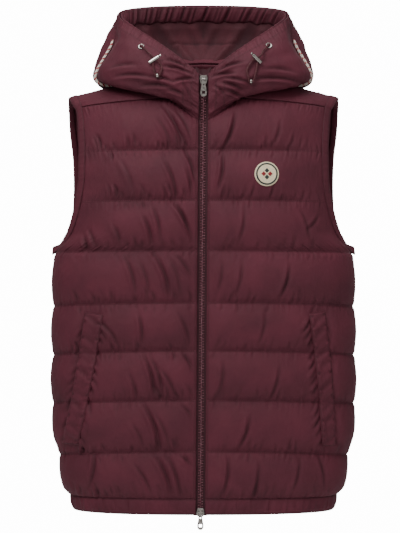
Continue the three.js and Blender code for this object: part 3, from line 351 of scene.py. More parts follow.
def tube(sections, closed=False, capped=True):
    """Rings of points joined one to the next, with a polygon over each end."""
    rings, size = sections.shape[:2]
    ids = np.arange(rings * size).reshape(rings, size)
    here = ids if closed else ids[:-1]
    there = np.roll(ids, -1, axis=0) if closed else ids[1:]
    quads = np.stack([here, np.roll(here, -1, 1), np.roll(there, -1, 1), there], axis=-1).reshape(-1, 4)
    faces = quads.tolist()
    if capped and not closed:
        faces += [ids[0, ::-1].tolist(), ids[-1].tolist()]
    return sections.reshape(-1, 3), faces


def volume_of(points, faces):
    """Signed volume of a closed mesh, as the sum over its faces' fans of triangles."""
    total = 0.0
    for size in {len(f) for f in faces}:
        ids = np.array([f for f in faces if len(f) == size])
        for i in range(1, size - 1):
            a, b, c = points[ids[:, 0]], points[ids[:, i]], points[ids[:, i + 1]]
            total += (a * np.cross(b, c)).sum()
    return total


def add_object(name, data):
    """New object in the scene, at the origin."""
    piece = bpy.data.objects.new(name, data)
    bpy.context.scene.collection.objects.link(piece)
    return piece


def make_piece(name, solid, material, replaced=(), uv=None, marks=None):
    """Object from points in millimetres and faces, turned to face out, with its UV map, marks for the stitching and the
    painted shade, body and the nodes that it stands for."""
    points, faces = solid
    if volume_of(points, faces) < 0:
        faces = [f[::-1] for f in faces]
    mesh = bpy.data.meshes.new(name)
    mesh.from_pydata((points * MM).tolist(), [], faces)
    mesh.polygons.foreach_set("use_smooth", [True] * len(faces))
    loops = np.zeros(len(mesh.loops), np.int32)
    mesh.loops.foreach_get("vertex_index", loops)
    if uv is not None:
        mesh.uv_layers.new(name="cloth").data.foreach_set("uv", uv[loops].ravel().astype(np.float32))
    for key, values in (marks or {}).items():
        data = mesh.attributes.new(key, "FLOAT", "POINT").data
        data.foreach_set("value", values.ravel().astype(np.float32))
    mesh.materials.append(material)
    mesh.update()
    piece = add_object(name, mesh)
    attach(piece, BODY)
    if replaced:
        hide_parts(*replaced)
    return piece


def lengths_of(grid):
    """Millimetres along each row and down each column of a grid, as a UV map."""
    across = np.linalg.norm(np.diff(grid, axis=1), axis=-1)
    down = np.linalg.norm(np.diff(grid, axis=0), axis=-1)
    u = np.concatenate([np.zeros((grid.shape[0], 1)), np.cumsum(across, axis=1)], axis=1)
    v = np.concatenate([np.zeros((1, grid.shape[1])), np.cumsum(down, axis=0)], axis=0)
    return np.stack([u - u.mean(axis=1, keepdims=True), v], axis=-1)


def cloth_piece(name, outer, inner, seam, material, replaced, seam_run=None, folded=0.0):
    """Padded or plain cloth from its outer and inner grids, with its distance from the stitching, which places the
    stitches and the painted shade along them, and the weight of the painted shade in its folds."""
    solid = shell(outer, inner)
    uv = lengths_of(outer)
    run = uv[..., 0] if seam_run is None else seam_run
    rest = len(inner.reshape(-1, 3))
    k = (outer.shape[0] - 1) // (inner.shape[0] - 1)
    uv_all = np.concatenate([uv.reshape(-1, 2), uv[::k, ::k].reshape(-1, 2)])
    # The fold mark weighs the painted shade in the troughs of creases, puckers and pleats
    marks = {"seam": np.concatenate([seam.ravel(), np.full(rest, 50.0)]),
             "run": np.concatenate([run.ravel(), np.zeros(rest)]),
             "fold": np.concatenate([(folded + 0 * run).ravel(), np.zeros(rest)])}
    return make_piece(name, solid, material, replaced, uv_all, marks)


# Form of the body
def zip_x(z):
    """Across place of the zip at a height: a straight lean from its top to its bottom."""
    return ZIP_LEAN * np.clip((ZIP_TOP - z) / (ZIP_TOP - ZIP_BOTTOM), 0, 1)


def section(sign, is_front, along, z, start=0.0):
    """Point of a level superellipse at a share of its length, from start out to the side seam or to the
    edge of the armhole. The curve's angle runs between two limits in 48 steps, and the share is taken of
    the polyline through them."""
    along, z, start = (a[..., None] for a in np.broadcast_arrays(*map(np.asarray, (along, z, start))))
    depth = smooth_row(FORM, 1 if is_front else 2, z)
    table = ARM_FRONT if is_front else ARM_BACK
    below = z < ARMPIT
    x = np.where(below, smooth_row(FORM, 3, z), smooth_row(table, 1, z))
    y = np.where(below, 0, smooth_row(table, 2, z))
    width = x / (1 - (y / depth) ** ROUNDNESS) ** (1 / ROUNDNESS)
    end = np.arctan2((x / width) ** (ROUNDNESS / 2), (y / depth) ** (ROUNDNESS / 2))
    begin = np.arcsin((start / width) ** (ROUNDNESS / 2))
    angle = mix(begin, end, np.linspace(0, 1, 49))
    xs = width * np.sin(angle) ** (2 / ROUNDNESS)
    ys = depth * np.maximum(np.cos(angle), 0) ** (2 / ROUNDNESS)
    steps = np.hypot(np.diff(xs, axis=-1), np.diff(ys, axis=-1))
    run = np.concatenate([np.zeros_like(steps[..., :1]), np.cumsum(steps, axis=-1)], axis=-1)
    goal = np.clip(along, 0, 1) * (run[..., -1:] - SEAM_GAP)
    i = np.clip((run < goal).sum(-1, keepdims=True) - 1, 0, 47)
    pick = lambda a, k: np.take_along_axis(a, k, axis=-1)[..., 0]
    t = (goal[..., 0] - pick(run, i)) / pick(steps, i)
    px = mix(pick(xs, i), pick(xs, i + 1), t)
    py = mix(pick(ys, i), pick(ys, i + 1), t)
    return vectors(sign * px, -py if is_front else py, z[..., 0])


def seam_height(seam, along):
    """Height of a stitch line: it drops from the middle to the side with the square of the share along."""
    return mix(seam[..., 0], seam[..., 1], along * along)


def front_point(sign, along, z):
    """Point of a front's section, which starts beside the zip."""
    return section(sign, True, along, z, ZIP_HALF + sign * zip_x(z))


def puff(share, from_start, from_end, height):
    """Rise of a channel: a power of the sine of its share across, pinched at the panel's two ends."""
    start, end = mix(0.25, 1, ease(from_start / 34)), mix(0.22, 1, ease(from_end / 60))
    return height * arch(share, 0.65) * start * end


def under_welt(sign, grid):
    """1 well inside a welt's outline, and 0 outside it."""
    outer_top, inner_top, inner_bottom, outer_bottom = WELTS[sign]
    t = (grid[..., 2] - outer_top[1]) / (outer_bottom[1] - outer_top[1])
    outer, inner = mix(outer_top[0], outer_bottom[0], t), mix(inner_top[0], inner_bottom[0], t)
    inside = np.clip(1.6 - np.abs(grid[..., 0] - (outer + inner) / 2) / np.abs(outer - inner) * 2, 0, 1)
    return np.where((t > -0.05) & (t < 1.05), inside, 0)


def pulled(grid, turned, creases):
    """Grid with soft troughs along straight pulls, and the weight from 0 to 1 of the painted shade in each trough: a
    bell curve of the distance from each pull, deepest in its middle, with a low ridge beside it."""
    depth = np.zeros(grid.shape[:2])
    folded = np.zeros(grid.shape[:2])
    for ax, az, bx, bz, width, deep in creases:
        dx, dz = bx - ax, bz - az
        long = math.hypot(dx, dz)
        px, pz = grid[..., 0] - ax, grid[..., 2] - az
        along = (px * dx + pz * dz) / long ** 2
        t = np.clip(along, 0, 1)
        away = (px * dz - pz * dx) / long
        far = np.hypot(px - t * dx, pz - t * dz)
        bow = away + 0.06 * long * arch(t)
        ends = arch(t * 0.9 + 0.05)
        near = far < width * 4 + 0.1 * long
        trough = bell(bow, width)
        ridge = 0.7 * bell(bow - 1.8 * width, width)
        beyond = bell(far - np.abs(away), width)
        depth += np.where(near, deep * ends * (trough - ridge) * beyond, 0)
        # Painted shade, darkest in the middle of each trough
        folded += np.where(near, min(deep / 3, 1) * ends * trough ** 2 * beyond, 0)
    return grid - normals(grid, turned) * depth[..., None], np.clip(folded, 0, 1)


def short_pulls(sign, strength):
    """Short pulls on both sides of each stitch line, and beside the pocket welt on a front: they lean
    down towards the zip, at seeded places."""
    rng = np.random.default_rng(200 + sign)
    rows = []
    for (middle, side), above in [(seam, up) for seam in QUILT for up in (True, False)]:
        # By the armholes the panel is narrower
        across = np.sort(rng.uniform(16, 165 if middle > ARMPIT + 10 else 215, 15 if above else 9))
        line = mix(middle, side, (across / 250) ** 2)
        long = rng.uniform(9, 28 if above else 17, len(across))
        lean = rng.uniform(0.1, 0.42, len(across)) * long
        deep = rng.uniform(0.8, 2.4 if above else 1.5, len(across)) * strength
        wide = rng.uniform(2.1, 3.0, len(across))
        ends = (line + long, line + 1.5, lean, 0) if above else (line - 1.5, line - long, 0, -lean)
        rows += np.stack(np.broadcast_arrays(sign * (across + ends[2]), ends[0], sign * (across + ends[3]), ends[1],
                                             wide, deep), axis=-1).tolist()
    return rows


def welt_pulls(sign):
    """Short pulls that run down and away from both long edges of a pocket welt."""
    rng = np.random.default_rng(300 + sign)
    outer_top, inner_top, inner_bottom, outer_bottom = WELTS[sign]
    t = np.linspace(0.05, 0.93, 13) + rng.uniform(-0.02, 0.02, 13)
    rows = []
    for top, bottom, away in ((outer_top, outer_bottom, sign), (inner_top, inner_bottom, -sign)):
        x, z = mix(top[0], bottom[0], t), mix(top[1], bottom[1], t)
        long, deep = rng.uniform(10, 20, 13), rng.uniform(1.0, 2.6, 13)
        rows += np.stack(np.broadcast_arrays(x - away * 3, z + 2, x + away * long * 0.5, z - long, 2.6, deep),
                         axis=-1).tolist()
    return rows


def front_grids(sign, height):
    """A front's inner grid and its puffed outer one, and the place of each row among the channels."""
    v = np.linspace(0, CHANNELS, CHANNELS * CHANNEL_ROWS + 1)[:, None]
    along = np.linspace(0, 1, 65)[None, :]
    k = np.minimum(v.astype(int), CHANNELS - 1)
    share = v - k
    upper = QUILT[np.maximum(k - 1, 0)]
    top = np.where(k == 0, smooth_row(FRONT_TOP, 1, along), seam_height(upper, along))
    z = mix(top, seam_height(QUILT[k], along), share)
    along = along + 0 * z
    base = front_point(sign, along, z)
    length = np.abs(base[:, -1, 0] - base[:, 0, 0])[:, None] * 1.15
    rise = puff(share, along * length, (1 - along) * length, height) * mix(1, 0.45, under_welt(sign, base))
    by_arm = np.clip((z - ARMPIT - 8) / 24, 0, 1) * np.cos(np.pi / 2 * np.clip((1 - along) * length / 80, 0, 1))
    rise = rise * (1 - 0.85 * by_arm)
    return base, base + normals(base, -sign) * (WALL + rise)[..., None], v[:, 0]


def back_top(sign, along):
    """Point of the back's top edge at a share of its row, on the table's cubics."""
    return vectors(sign * smooth_row(BACK_TOP, 1, along), smooth_row(BACK_TOP, 2, along),
                   smooth_row(BACK_TOP, 3, along))


def round_over(bottom, top, t):
    """Quadratic curve from bottom to top by way of a corner."""
    corner = bottom + (top - bottom) * np.array([0.5, 0.35, 0.68])
    return mix(mix(bottom, corner, t), mix(corner, top, t), t)


def back_grids(height):
    """The back's inner and outer grids. Its first channel rounds over to the neck and shoulders."""
    v = np.linspace(-1, CHANNELS, (CHANNELS + 1) * 14 + 1)
    middle = np.linspace(-1, 1, 121)[None, :]
    sign, along = np.where(middle < 0, -1.0, 1.0), np.abs(middle)
    k = np.clip(np.floor(v).astype(int), 0, CHANNELS - 1)[:, None]
    share = np.clip(v[:, None] - k, 0, 1)
    seams = np.concatenate([[(YOKE_SEAM, YOKE_SEAM)], QUILT])
    z = mix(seam_height(seams[k], along), seam_height(QUILT[k], along), share)
    level = section(1, False, along + 0 * z, z)
    level[..., 0] *= sign
    t = np.maximum(-v, 0)[:, None, None]
    top = back_top(1, along)
    top[..., 0] *= sign
    top = top + np.array([0, SEAM_GAP, 0])
    base = np.where(t > 0, round_over(level, top, t), level)
    upper = v[:, None] < 0
    rise = puff(np.where(upper, v[:, None] + 1, share), 1000, (1 - along) * 260, np.where(upper, 6, height))
    return base, base + normals(base, 1) * (WALL + rise)[..., None], v


def yoke_grids(sign):
    """A yoke's inner and outer grids: quadratic curves from the front's top edge over to the shoulder."""
    share = np.linspace(0, 1, 41)[None, :]
    t = np.linspace(0, 1, 25)[:, None, None]
    low = mix(YOKE_START, 1, share)
    bottom = front_point(sign, low, smooth_row(FRONT_TOP, 1, low) + 2 * SEAM_GAP)
    top = back_top(sign, mix(SHOULDER_START, 1, share)) - np.array([0, SEAM_GAP, 0])
    base = round_over(bottom, top, t)
    rise = puff(t[..., 0], share * 130, (1 - share) * 130, 5)
    return base, base + normals(base, sign) * (WALL + rise)[..., None]


# Form of the hood
def neckline(sign):
    """Fine polyline up a front's top edge, up the yoke's inner edge and round half of the back neck."""
    along = np.arange(4) / 16
    front = front_point(sign, along, smooth_row(FRONT_TOP, 1, along))
    low = np.array([YOKE_START])
    bottom = front_point(sign, low, smooth_row(FRONT_TOP, 1, low) + 2 * SEAM_GAP)
    top = back_top(sign, np.array([SHOULDER_START])) - np.array([0, SEAM_GAP, 0])
    yoke = round_over(bottom, top, np.array([0, 0.25, 0.55, 0.8, 1])[:, None])
    back = back_top(sign, np.array([0.28, 0.21, 0.15, 0.08, 0]))
    return spline(np.concatenate([front, yoke, back]), np.linspace(0, 1, 400))


NECKLINE = {sign: neckline(sign) for sign in (-1, 1)}


def stations(key, station):
    """Uniform Catmull-Rom curve through one column of the hood's table, mirrored past the centre back."""
    points = np.array([row[key] for row in HOOD], float)
    mirrored = points[-3:-1][::-1] * np.array([-1, 1, 1])
    p = np.concatenate([2 * points[:1] - points[1:2], points, mirrored])
    i = np.minimum(station.astype(int), HOOD_LAST - 1)
    return catmull_rom(p, i, (station - i)[..., None])


def neck_points(sign, station, out, rise):
    """Points of the neckline at the stations' places, moved out from the neck and up."""
    share = np.interp(station, np.arange(len(HOOD)), [row[5] for row in HOOD])
    p = evenly(NECKLINE[sign], share)
    flat = unit(p * np.array([1, 1, 0]))
    return p + flat * np.asarray(out)[..., None] + vectors(0, 0, rise)


def hood_base(sign, station, share):
    """Hood's outer face: a curve at each station from the brim out, down and back up to the neckline."""
    keys = [stations(key, station) * np.array([sign, 1, 1]) for key in range(5)]
    behind = np.clip(station / 3, 0, 1)
    lift = mix(1, 2.4, behind) + 3.4 * arch(station / 5)
    keys.append(neck_points(sign, station, mix(2.2, 1.6, behind), lift))
    return np.moveaxis(spline(np.stack(keys, axis=-2), share), 0, 1)


def hood_outer(base, turned, station, share, from_seam, rise):
    """Hood cloth with its light padding: open over the bulge, flat at the neck, pinched at the seams."""
    share = share[:, None]
    open_ = np.clip(5 * (1 - share), 0, 1) * arch(share, 0.7)
    pinch = ease(from_seam / 40)[None, :]
    lift = open_ * pinch * (rise + 1.4 * np.sin(station[None, :] * 2.1 + share * 17))
    return base + normals(base, turned) * lift[..., None]


def hood_side_grids(sign):
    """A hood side's inner and outer grids, from the throat round to its piped seam."""
    share = np.linspace(0, 1, 57)
    place = np.linspace(0, 1, 73)
    station = place * (SIDE_PANEL_END - 0.01)
    base = hood_base(sign, station, share)
    outer = hood_outer(base, -sign, station, share, (1 - place) * 180, 4)
    return base - normals(base, -sign) * WALL, outer


def hood_centre_grids():
    """The hood centre's inner and outer grids, from one piped seam to the other."""
    share = np.linspace(0, 1, 61)
    place = np.linspace(-1, 1, 97)
    station = HOOD_LAST - np.abs(place) * (HOOD_LAST - SIDE_PANEL_END - 0.01)
    right = hood_base(1, station, share)
    left = hood_base(-1, station, share)
    base = np.where(place[None, :, None] < 0, left, right)
    outer = hood_outer(base, 1, station, share, (1 - np.abs(place)) * 220, 6)
    return base - normals(base, 1) * WALL, outer


def lining_curves(place):
    """Curves inside the hood from behind the brim in and down to the neck, as fine polylines."""
    sign = np.where(place < 0, -1.0, 1.0)
    station = HOOD_LAST * (1 - np.abs(place))
    mirror = vectors(sign, 1, 1)
    brim = stations(0, station) * mirror
    start = brim + unit(np.array([0, 20, 40]) - brim) * (WALL + 1.6)
    middle = stations(6, station) * mirror
    drop = mix(5, -26, np.clip((station - 3) / 2, 0, 1))
    ends = np.where(sign[:, None] < 0, neck_points(-1, station, -5 + 0 * station, drop),
                    neck_points(1, station, -5 + 0 * station, drop))
    return spline(np.stack([start, middle, ends], axis=-2), np.linspace(0, 1, 120))


def lining_at(place, distance):
    """Points of the lining at distances from the brim, for each column's place round the opening."""
    curves = lining_curves(place)
    run = np.concatenate([np.zeros((len(place), 1)),
                          np.cumsum(np.linalg.norm(np.diff(curves, axis=1), axis=-1), axis=1)], axis=1)
    goal = np.minimum(distance, run[:, -1][None, :])
    i = np.clip((run[None] < goal[..., None]).sum(-1) - 1, 0, curves.shape[1] - 2)
    column = np.arange(len(place))[None, :] + 0 * i
    t = (goal - run[column, i]) / (run[column, i + 1] - run[column, i])
    return mix(curves[column, i], curves[column, i + 1], t[..., None]), run[:, -1]


# Cloth between its stitching
SEWN = {}


def held_rows(v, columns):
    """Stitched points of a quilted panel: its channel lines and its four edges."""
    held = np.zeros((len(v), columns), bool)
    held[np.abs(v - np.round(v)) < 1e-6] = True
    held[[0, -1]] = True
    held[:, [0, -1]] = True
    return held


def held_edges(grid):
    """Stitched points of a panel that is held at its four edges only."""
    return held_rows(np.linspace(0.01, 0.99, grid.shape[0]), grid.shape[1])


def caps(base, outer, share):
    """Furthest that the filling may move each point: a little at the stitching, and more where the cloth
    already stands off its base."""
    return 0.7 + share * np.maximum(np.linalg.norm(outer - base, axis=-1) - WALL, 0)


def fill_out(pieces, frames):
    """Cloth simulation of every padded piece at once: each is cut wider than the room between its
    stitching and no higher, and is blown out by its filling. No point moves further than its cap."""
    scene = bpy.context.scene
    made = []
    for number, (name, (grid, held, turned, fullness, pressure, cap)) in enumerate(pieces.items()):
        rng = np.random.default_rng(100 + number)
        start = grid + rng.normal(0, 0.12, grid.shape) * ~held[..., None]
        mesh = bpy.data.meshes.new(name + "_filling")
        faces = grid_faces(*grid.shape[:2], flip=turned < 0)
        mesh.from_pydata((start.reshape(-1, 3) * MM).tolist(), [], faces.tolist())
        piece = add_object(name + "_filling", mesh)
        piece.shape_key_add(name="sewn")
        cut = piece.shape_key_add(name="cut")
        wide = start * (1 + fullness, 1 + fullness, 1)
        cut.data.foreach_set("co", (wide * MM).ravel().astype(np.float32))
        group = piece.vertex_groups.new(name="stitched")
        group.add(np.flatnonzero(held).tolist(), 1.0, "REPLACE")
        cloth = piece.modifiers.new("filling", "CLOTH")
        s = cloth.settings
        s.quality = 6
        s.mass = 0.12
        s.tension_stiffness = s.compression_stiffness = 12
        s.shear_stiffness = 4
        s.bending_stiffness = 0.5
        s.tension_damping = s.compression_damping = s.shear_damping = 4
        s.bending_damping = 0.3
        s.air_damping = 3
        s.vertex_group_mass = "stitched"
        s.rest_shape_key = cut
        s.use_pressure = True
        s.uniform_pressure_force = pressure
        s.effector_weights.gravity = 0
        cloth.point_cache.frame_start, cloth.point_cache.frame_end = 1, frames
        made.append((name, piece, grid, cap))
    for number in range(1, frames + 1):
        scene.frame_set(number)
    graph = bpy.context.evaluated_depsgraph_get()
    for name, piece, grid, cap in made:
        filled = np.zeros(grid.size, np.float32)
        piece.evaluated_get(graph).data.vertices.foreach_get("co", filled)
        moved = filled.reshape(grid.shape).astype(float) / MM - grid
        far = np.linalg.norm(moved, axis=-1, keepdims=True)
        SEWN[name] = grid + moved * np.minimum(1, cap[..., None] / np.maximum(far, 1e-6))
    for _, piece, _, _ in made:
        bpy.data.objects.remove(piece)
    scene.frame_set(1)


# Finishes
def linear(colour):
    """An sRGB hex colour as linear red, green, blue and alpha."""
    values = [int(colour[i:i + 2], 16) / 255 for i in (1, 3, 5)]
    return (*[v / 12.92 if v <= 0.04045 else ((v + 0.055) / 1.055) ** 2.4 for v in values], 1.0)


def feed(tree, made, inputs):
    """Links or sets a node's inputs."""
    for key, value in inputs.items():
        if isinstance(value, bpy.types.NodeSocket):
            tree.links.new(value, made.inputs[key])
        else:
            made.inputs[key].default_value = value


def node(tree, kind, inputs, out=0, stops=(), **settings):
    """Adds a node with its settings, inputs and (place, colour) stops, and gives one of its outputs."""
    made = tree.nodes.new("ShaderNode" + kind)
    for key, value in settings.items():
        setattr(made, key, value)
    feed(tree, made, inputs)
    for i, (place, colour) in enumerate(stops):
        element = made.color_ramp.elements[i] if i < 2 else made.color_ramp.elements.new(place)
        element.position, element.color = place, linear(colour)
    return made.outputs[out]


def begun(name):
    """A new material, its node tree and its shader."""
    material = bpy.data.materials.new(name)
    material.use_nodes = True
    return material, material.node_tree, material.node_tree.nodes["Principled BSDF"]


def shell_nylon(name, lit, shade, thread, crinkle, roughness):
    """Down-proof nylon taffeta: threads of about 0.1 mm woven close and pressed smooth, so that the eye
    gets a soft sheen on the folds and fine dry crinkles, and no weave from a step away. The weave is drawn
    at 0.7 mm, as coarse as a close view needs."""
    # thread is the dark colour of the painted shade along the seams and in the folds; the stitches themselves take the
    # lit colour
    material, tree, shader = begun(name)
    cloth = node(tree, "UVMap", {}, uv_map="cloth")
    place = node(tree, "TexCoord", {}, "Object")
    seam = node(tree, "Attribute", {}, "Fac", attribute_name="seam")
    run = node(tree, "Attribute", {}, "Fac", attribute_name="run")
    patchy = node(tree, "TexNoise", {"Vector": place, "Scale": 18.0, "Detail": 4.0, "Distortion": 0.4})
    # Crinkles 7 mm wide and 19 mm high over the whole cloth, with finer ones of 5 mm
    tall = node(tree, "Mapping", {"Vector": cloth, "Scale": (1 / 7.0, 1 / 19.0, 1.0)})
    creased = node(tree, "TexNoise", {"Vector": tall, "Scale": 1.0, "Detail": 4.0, "Distortion": 1.1})
    fine = node(tree, "TexNoise", {"Vector": cloth, "Scale": 0.2, "Detail": 5.0, "Distortion": 0.8,
                                   "Roughness": 0.6})
    # Puckers 3.6 mm wide that fade out 16 mm from the stitching
    upright = node(tree, "Mapping", {"Vector": cloth, "Scale": (1 / 3.6, 1 / 26.0, 1.0)})
    drawn = node(tree, "TexNoise", {"Vector": upright, "Scale": 1.0, "Detail": 2.0, "Distortion": 0.5})
    near = node(tree, "MapRange", {"Value": seam, "From Max": 16.0, "To Min": 1.0, "To Max": 0.0})
    # Warp and weft of 0.7 mm
    warp = node(tree, "TexWave", {"Vector": cloth, "Scale": 0.449}, "Fac", bands_direction="X")
    weft = node(tree, "TexWave", {"Vector": cloth, "Scale": 0.449}, "Fac", bands_direction="Y")
    weave = node(tree, "Math", {0: warp, 1: weft}, operation="MULTIPLY")
    # Stitches 2.3 mm long, every 3.2 mm along the seam
    on_line = node(tree, "Math", {0: seam, 1: 0.5}, operation="LESS_THAN")
    beat = node(tree, "Math", {0: node(tree, "Math", {0: run, 1: 3.2}, operation="DIVIDE")}, operation="FRACT")
    dash = node(tree, "Math", {0: beat, 1: 0.72}, operation="LESS_THAN")
    sewn = node(tree, "Math", {0: on_line, 1: dash}, operation="MULTIPLY")
    # Painted shade sunk along the stitching: within 1.9 mm of it the colour turns towards thread, the dark seam shade
    sunk = node(tree, "MapRange", {"Value": seam, "From Max": 1.9, "To Min": 0.7, "To Max": 0.0})
    body = node(tree, "ValToRGB", {0: patchy}, stops=((0.3, shade), (0.72, lit)))
    body = node(tree, "Mix", {0: sunk, 6: body, 7: linear(thread)}, 2, data_type="RGBA")
    # Painted shade in the troughs of creases, puckers and pleats: the fold mark turns the colour towards the same dark
    # seam shade
    fold = node(tree, "Attribute", {}, "Fac", attribute_name="fold")
    crease_shade = node(tree, "Math", {0: fold, 1: 0.75}, operation="MULTIPLY")
    body = node(tree, "Mix", {0: crease_shade, 6: body, 7: linear(thread)}, 2, data_type="RGBA")
    body = node(tree, "Mix", {0: sewn, 6: body, 7: linear(lit)}, 2, data_type="RGBA")
    height = node(tree, "Math", {0: drawn, 1: near}, operation="MULTIPLY")
    for layer, share in ((creased, crinkle), (fine, 0.2), (weave, 0.03), (sewn, 0.3)):
        height = node(tree, "Math", {0: layer, 1: share, 2: height}, operation="MULTIPLY_ADD")
    feed(tree, shader, {
        "Base Color": body,
        "Normal": node(tree, "Bump", {"Height": height, "Strength": 0.55, "Distance": 0.0015}),
        "Roughness": node(tree, "MapRange", {"Value": fine, "To Min": roughness - 0.06, "To Max": roughness + 0.1}),
        "Sheen Weight": 0.04, "Sheen Roughness": 0.4, "Sheen Tint": linear("#9C5F69"), "IOR": 1.38,
    })
    return material


def twill_tape(name, colour, dark):
    """Woven polyester zip tape: a flat herringbone of 1.2 mm ribs, matt and a little darker than the
    nylon beside it."""
    material, tree, shader = begun(name)
    cloth = node(tree, "UVMap", {}, uv_map="cloth")
    turned = node(tree, "Mapping", {"Vector": cloth, "Rotation": (0, 0, 0.9)})
    ribs = node(tree, "TexWave", {"Vector": turned, "Scale": 0.26}, "Fac", bands_direction="X")
    fuzz = node(tree, "TexNoise", {"Vector": cloth, "Scale": 1.25, "Detail": 3.0})
    worn = node(tree, "Math", {0: ribs, 1: fuzz}, operation="MULTIPLY")
    feed(tree, shader, {
        "Base Color": node(tree, "ValToRGB", {0: worn}, stops=((0.1, dark), (0.7, colour))),
        "Normal": node(tree, "Bump", {"Height": worn, "Strength": 0.6, "Distance": 0.0004}),
        "Roughness": 0.85,
    })
    return material


def moulded_acetal(name, colour, dark):
    """Moulded acetal zip teeth: smooth and slightly waxy, with small bright glints on each tooth."""
    material, tree, shader = begun(name)
    place = node(tree, "TexCoord", {}, "Object")
    flecks = node(tree, "TexNoise", {"Vector": place, "Scale": 550.0, "Detail": 3.0})
    feed(tree, shader, {
        "Base Color": node(tree, "ValToRGB", {0: flecks}, stops=((0.35, dark), (0.65, colour))),
        "Normal": node(tree, "Bump", {"Height": flecks, "Strength": 0.15, "Distance": 0.0003}),
        "Roughness": 0.26, "IOR": 1.48,
    })
    return material


def polished_nickel(name, colour, dark):
    """Nickel plating on die-cast zinc: bright and warm, with faint wipe marks and painted shade in its hollows."""
    material, tree, shader = begun(name)
    place = node(tree, "TexCoord", {}, "Object")
    stroked = node(tree, "Mapping", {"Vector": place, "Scale": (830.0, 250.0, 110.0)})
    wiped = node(tree, "TexNoise", {"Vector": stroked, "Scale": 1.0, "Detail": 4.0, "Distortion": 0.6})
    spots = node(tree, "TexNoise", {"Vector": place, "Scale": 240.0, "Detail": 3.0})
    # Painted shade: the colour darkens by ambient occlusion where other faces stand within 2 mm, mixed with random
    # spots
    open_ = node(tree, "AmbientOcclusion", {"Distance": 0.002}, "AO", samples=8)
    shown = node(tree, "Math", {0: open_, 1: spots}, operation="MULTIPLY")
    feed(tree, shader, {
        "Base Color": node(tree, "ValToRGB", {0: shown}, stops=((0.18, dark), (0.5, colour))),
        "Roughness": node(tree, "MapRange", {"Value": wiped, "To Min": 0.1, "To Max": 0.3}),
        "Normal": node(tree, "Bump", {"Height": wiped, "Strength": 0.12, "Distance": 0.0002}),
        "Metallic": 1.0,
    })
    return material


def braided_cord(name, colour, dark):
    """Braided polyester over elastic: two sets of yarns of 1 mm that cross round the cord."""
    material, tree, shader = begun(name)
    cloth = node(tree, "UVMap", {}, uv_map="cloth")
    yarns = [node(tree, "TexWave", {
        "Vector": node(tree, "Mapping", {"Vector": cloth, "Rotation": (0, 0, turn)}), "Scale": 0.3,
    }, "Fac", bands_direction="X") for turn in (0.8, -0.8)]
    braid = node(tree, "Math", {0: yarns[0], 1: yarns[1]}, operation="MAXIMUM")
    feed(tree, shader, {
        "Base Color": node(tree, "ValToRGB", {0: braid}, stops=((0.35, dark), (0.9, colour))),
        "Normal": node(tree, "Bump", {"Height": braid, "Strength": 0.8, "Distance": 0.0004}),
        "Roughness": 0.6,
    })
    return material


def twisted_twine(name, colour, fleck):
    """Cotton piping twisted from pale yarns with one red yarn, which shows as short slanting flecks
    every 9 mm. The yarns are drawn at 1.5 mm."""
    material, tree, shader = begun(name)
    cloth = node(tree, "UVMap", {}, uv_map="cloth")
    turned = node(tree, "Mapping", {"Vector": cloth, "Rotation": (0, 0, 0.85)})
    yarns = node(tree, "TexWave", {"Vector": turned, "Scale": 0.21}, "Fac", bands_direction="X")
    across = node(tree, "SeparateXYZ", {0: turned})
    turns = node(tree, "Math", {0: across, 1: 6.6}, operation="DIVIDE")
    one = node(tree, "Math", {0: node(tree, "Math", {0: turns}, operation="FRACT"), 1: 0.3}, operation="LESS_THAN")
    fuzz = node(tree, "TexNoise", {"Vector": cloth, "Scale": 1.4, "Detail": 3.0})
    body = node(tree, "ValToRGB", {0: fuzz}, stops=((0.3, "#D3C8B8"), (0.7, colour)))
    feed(tree, shader, {
        "Base Color": node(tree, "Mix", {0: one, 6: body, 7: linear(fleck)}, 2, data_type="RGBA"),
        "Normal": node(tree, "Bump", {"Height": yarns, "Strength": 0.7, "Distance": 0.0005}),
        "Roughness": 0.8,
    })
    return material


def pressed_felt(name, colour, dark):
    """Pressed wool felt: no weave, a matt nap of fine fibres with faint pale and dark flecks."""
    material, tree, shader = begun(name)
    place = node(tree, "TexCoord", {}, "Object")
    nap = node(tree, "TexNoise", {"Vector": place, "Scale": 900.0, "Detail": 5.0, "Distortion": 0.5,
                                  "Roughness": 0.65})
    feed(tree, shader, {
        "Base Color": node(tree, "ValToRGB", {0: nap}, stops=((0.3, dark), (0.62, colour))),
        "Normal": node(tree, "Bump", {"Height": nap, "Strength": 0.5, "Distance": 0.0005}),
        "Roughness": 0.92, "Sheen Weight": 0.3,
    })
    return material


def satin_stitch(name, colour, dark):
    """Rayon embroidery thread laid side by side every 0.5 mm: a silky line with a bright ridge."""
    material, tree, shader = begun(name)
    place = node(tree, "TexCoord", {}, "Object")
    laid = node(tree, "TexWave", {"Vector": place, "Scale": 520.0, "Distortion": 0.6}, "Fac",
                bands_direction="DIAGONAL")
    feed(tree, shader, {
        "Base Color": node(tree, "ValToRGB", {0: laid}, stops=((0.2, dark), (0.8, colour))),
        "Normal": node(tree, "Bump", {"Height": laid, "Strength": 0.5, "Distance": 0.0003}),
        "Roughness": 0.42,
    })
    return material


def seamless_paper(name, colour, glow):
    """Matt studio background paper, lit from behind the vest so that it shows as white: nearly even, with
    a barely visible tooth. The glow is seen and lights nothing."""
    material, tree, shader = begun(name)
    place = node(tree, "TexCoord", {}, "Object")
    tooth = node(tree, "TexNoise", {"Vector": place, "Scale": 100.0, "Detail": 2.0})
    seen = node(tree, "LightPath", {}, "Is Camera Ray")
    feed(tree, shader, {
        "Base Color": node(tree, "ValToRGB", {0: tooth}, stops=((0.2, "#F4F4F4"), (0.8, colour))),
        "Emission Color": linear(colour),
        "Emission Strength": node(tree, "Math", {0: seen, 1: glow}, operation="MULTIPLY"),
        "Roughness": 0.9,
    })
    return material


FINISH = {}


